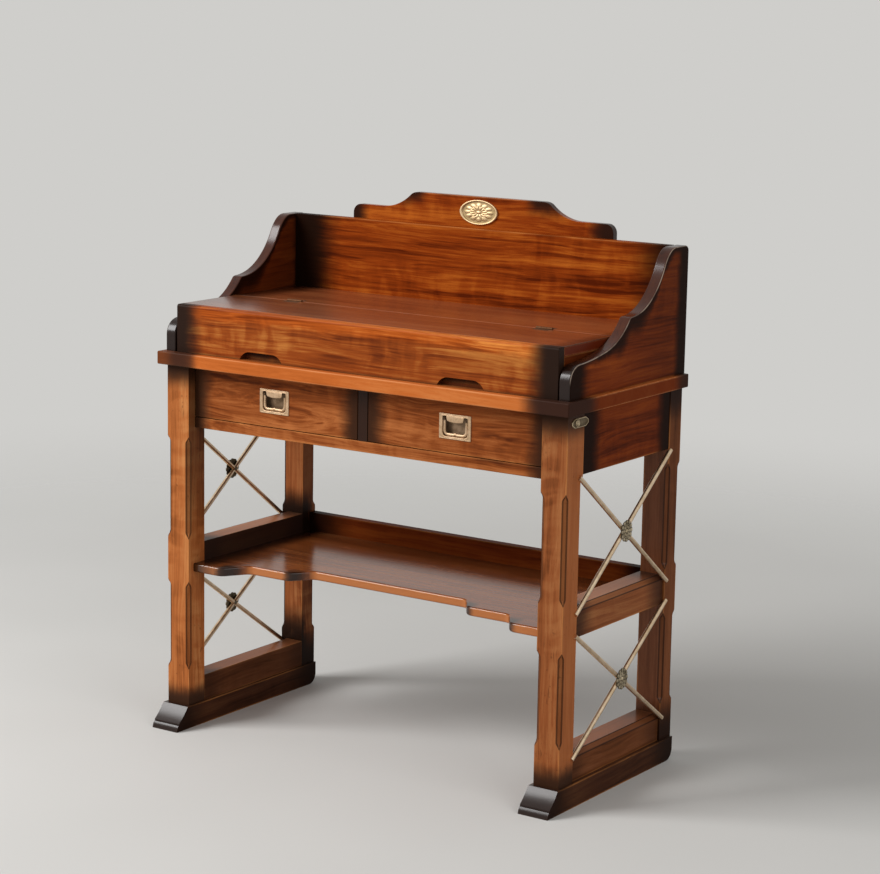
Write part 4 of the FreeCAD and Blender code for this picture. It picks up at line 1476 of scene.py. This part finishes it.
@dataclass(frozen=True)
class Lamp:
    """A square soft lamp: where it hangs, the point it faces, its side in metres and its power in watts."""

    name: str
    place: Point
    aim: Point
    size: float
    power: float

    def hang(self) -> None:
        """Hang the lamp and turn it to the point."""
        data = bpy.data.lights.new(self.name, "AREA")
        data.size, data.energy = self.size, self.power
        lamp = add_object(self.name, data)
        lamp.location = self.place
        lamp.rotation_euler = (Vector(self.aim) - Vector(self.place)).to_track_quat("-Z", "Y").to_euler()


@dataclass
class Studio:
    """A pale floor, soft lamps and the camera at the desk's three-quarter view, in metres and radians."""

    camera_place: Point = (2.7607, -3.9864, 1.5318)
    yaw: float = 0.59498187
    pitch: float = -0.18513304
    roll: float = 0.01756542
    focal_pixels: float = 2517.6562
    sensor: float = 36.0
    view_end: float = 100.0
    floor_half: float = 9.0
    floor_near: float = 0.9
    floor_far: float = 3.8
    floor_layers: Tuple[Layer, Layer] = (Layer(1.1, 1.1), Layer(160.0, 160.0, 2.0))
    floor_tones: Tuple[Stop, Stop] = ((0.3, "#D3D2CF"), (0.7, "#D9D8D5"))
    floor_shine: float = 0.1
    floor_roughness: float = 0.6
    speck_rough: float = 0.2
    speck_relief: float = 0.05
    speck_reach: float = 0.5
    wall_tone: str = "#CFCECB"
    glow_colour: Colour = (1.0, 0.985, 0.96, 1.0)
    glow_strength: float = 0.34
    lamps: Tuple[Lamp, Lamp] = (Lamp("key_lamp", (-2.9, -2.9, 3.2), (0.0, 0.0, 0.6), 2.4, 216.0),
                                Lamp("side_lamp", (3.6, -1.2, 2.2), (0.0, 0.0, 0.5), 2.4, 34.0))

    def camera(self) -> None:
        """Place the camera: the view direction from yaw and pitch, then rolled about itself."""
        forward = Vector((-math.sin(self.yaw) * math.cos(self.pitch),
                          math.cos(self.yaw) * math.cos(self.pitch), math.sin(self.pitch)))
        right = forward.cross(Vector((0, 0, 1))).normalized()
        up = right.cross(forward)
        turn_c, turn_s = math.cos(self.roll), math.sin(self.roll)
        right, up = turn_c * right + turn_s * up, turn_c * up - turn_s * right
        data = bpy.data.cameras.new("desk_camera")
        data.sensor_width = self.sensor
        data.lens = self.focal_pixels / IMAGE_WIDTH * self.sensor
        data.clip_end = self.view_end
        camera = add_object("desk_camera", data)
        turned = Matrix((right, up, -forward)).transposed().to_4x4()
        camera.matrix_world = Matrix.Translation(self.camera_place) @ turned
        bpy.context.scene.camera = camera

    def floor(self) -> None:
        """Lay a pale square floor under the desk, which clears into the pale wall away from it."""
        half = self.floor_half
        corners = [(-half, -half, 0), (half, -half, 0), (half, half, 0), (-half, half, 0)]
        mesh = bpy.data.meshes.new("studio_floor")
        mesh.from_pydata(corners, [], [(0, 1, 2, 3)])
        shader = Shader("floor_paint")
        place = shader.place()
        cloud, speck = (layer.over(shader, place) for layer in self.floor_layers)
        shader.surface.inputs["Specular IOR Level"].default_value = self.floor_shine
        colour = shader.ramp(cloud, self.floor_tones)
        roughness = speck * self.speck_rough + self.floor_roughness
        mesh.materials.append(shader.finish(colour, roughness, speck, self.speck_relief, self.speck_reach))
        away = Number(shader, shader.node("VectorMath", place, operation="LENGTH").outputs["Value"])
        gone = away.fade(self.floor_near, self.floor_far)
        clear = shader.node("BsdfTransparent").outputs[0]
        mix = shader.node("MixShader", gone, shader.surface.outputs[0], clear)
        shader.put(shader.tree.nodes["Material Output"].inputs["Surface"], mix.outputs[0])
        add_object("studio_floor", mesh)

    def sky(self) -> None:
        """Surround the desk with soft light, and show a pale grey wall to the eye and to reflections."""
        world = bpy.data.worlds.new("studio_sky")
        world.use_nodes = True
        sky = Nodes(world.node_tree)
        sky.tree.nodes.clear()
        glow = sky.node("Background", self.glow_colour, self.glow_strength)
        wall = sky.node("Background", linear(self.wall_tone), 1.0)
        rays = sky.node("LightPath").outputs
        seen = sky.math("MAXIMUM", rays["Is Camera Ray"], rays["Is Glossy Ray"])
        plain = sky.math("MAXIMUM", seen, rays["Is Transmission Ray"])
        mix = sky.node("MixShader", plain, glow.outputs[0], wall.outputs[0])
        sky.node("OutputWorld", mix.outputs[0])
        bpy.context.scene.world = world

    def build(self) -> None:
        """Set up the camera, lamps, floor and sky."""
        self.camera()
        self.floor()
        self.sky()
        for lamp in self.lamps:
            lamp.hang()
        bpy.context.scene.view_settings.view_transform = "Standard"


def main() -> None:
    """Build the desk's looks in order, with logging on."""
    logging.basicConfig(level=logging.INFO, format="%(name)s %(message)s")
    Woodwork().dress()
    Hardware().build()
    Studio().build()


if __name__ == "__main__":
    main()
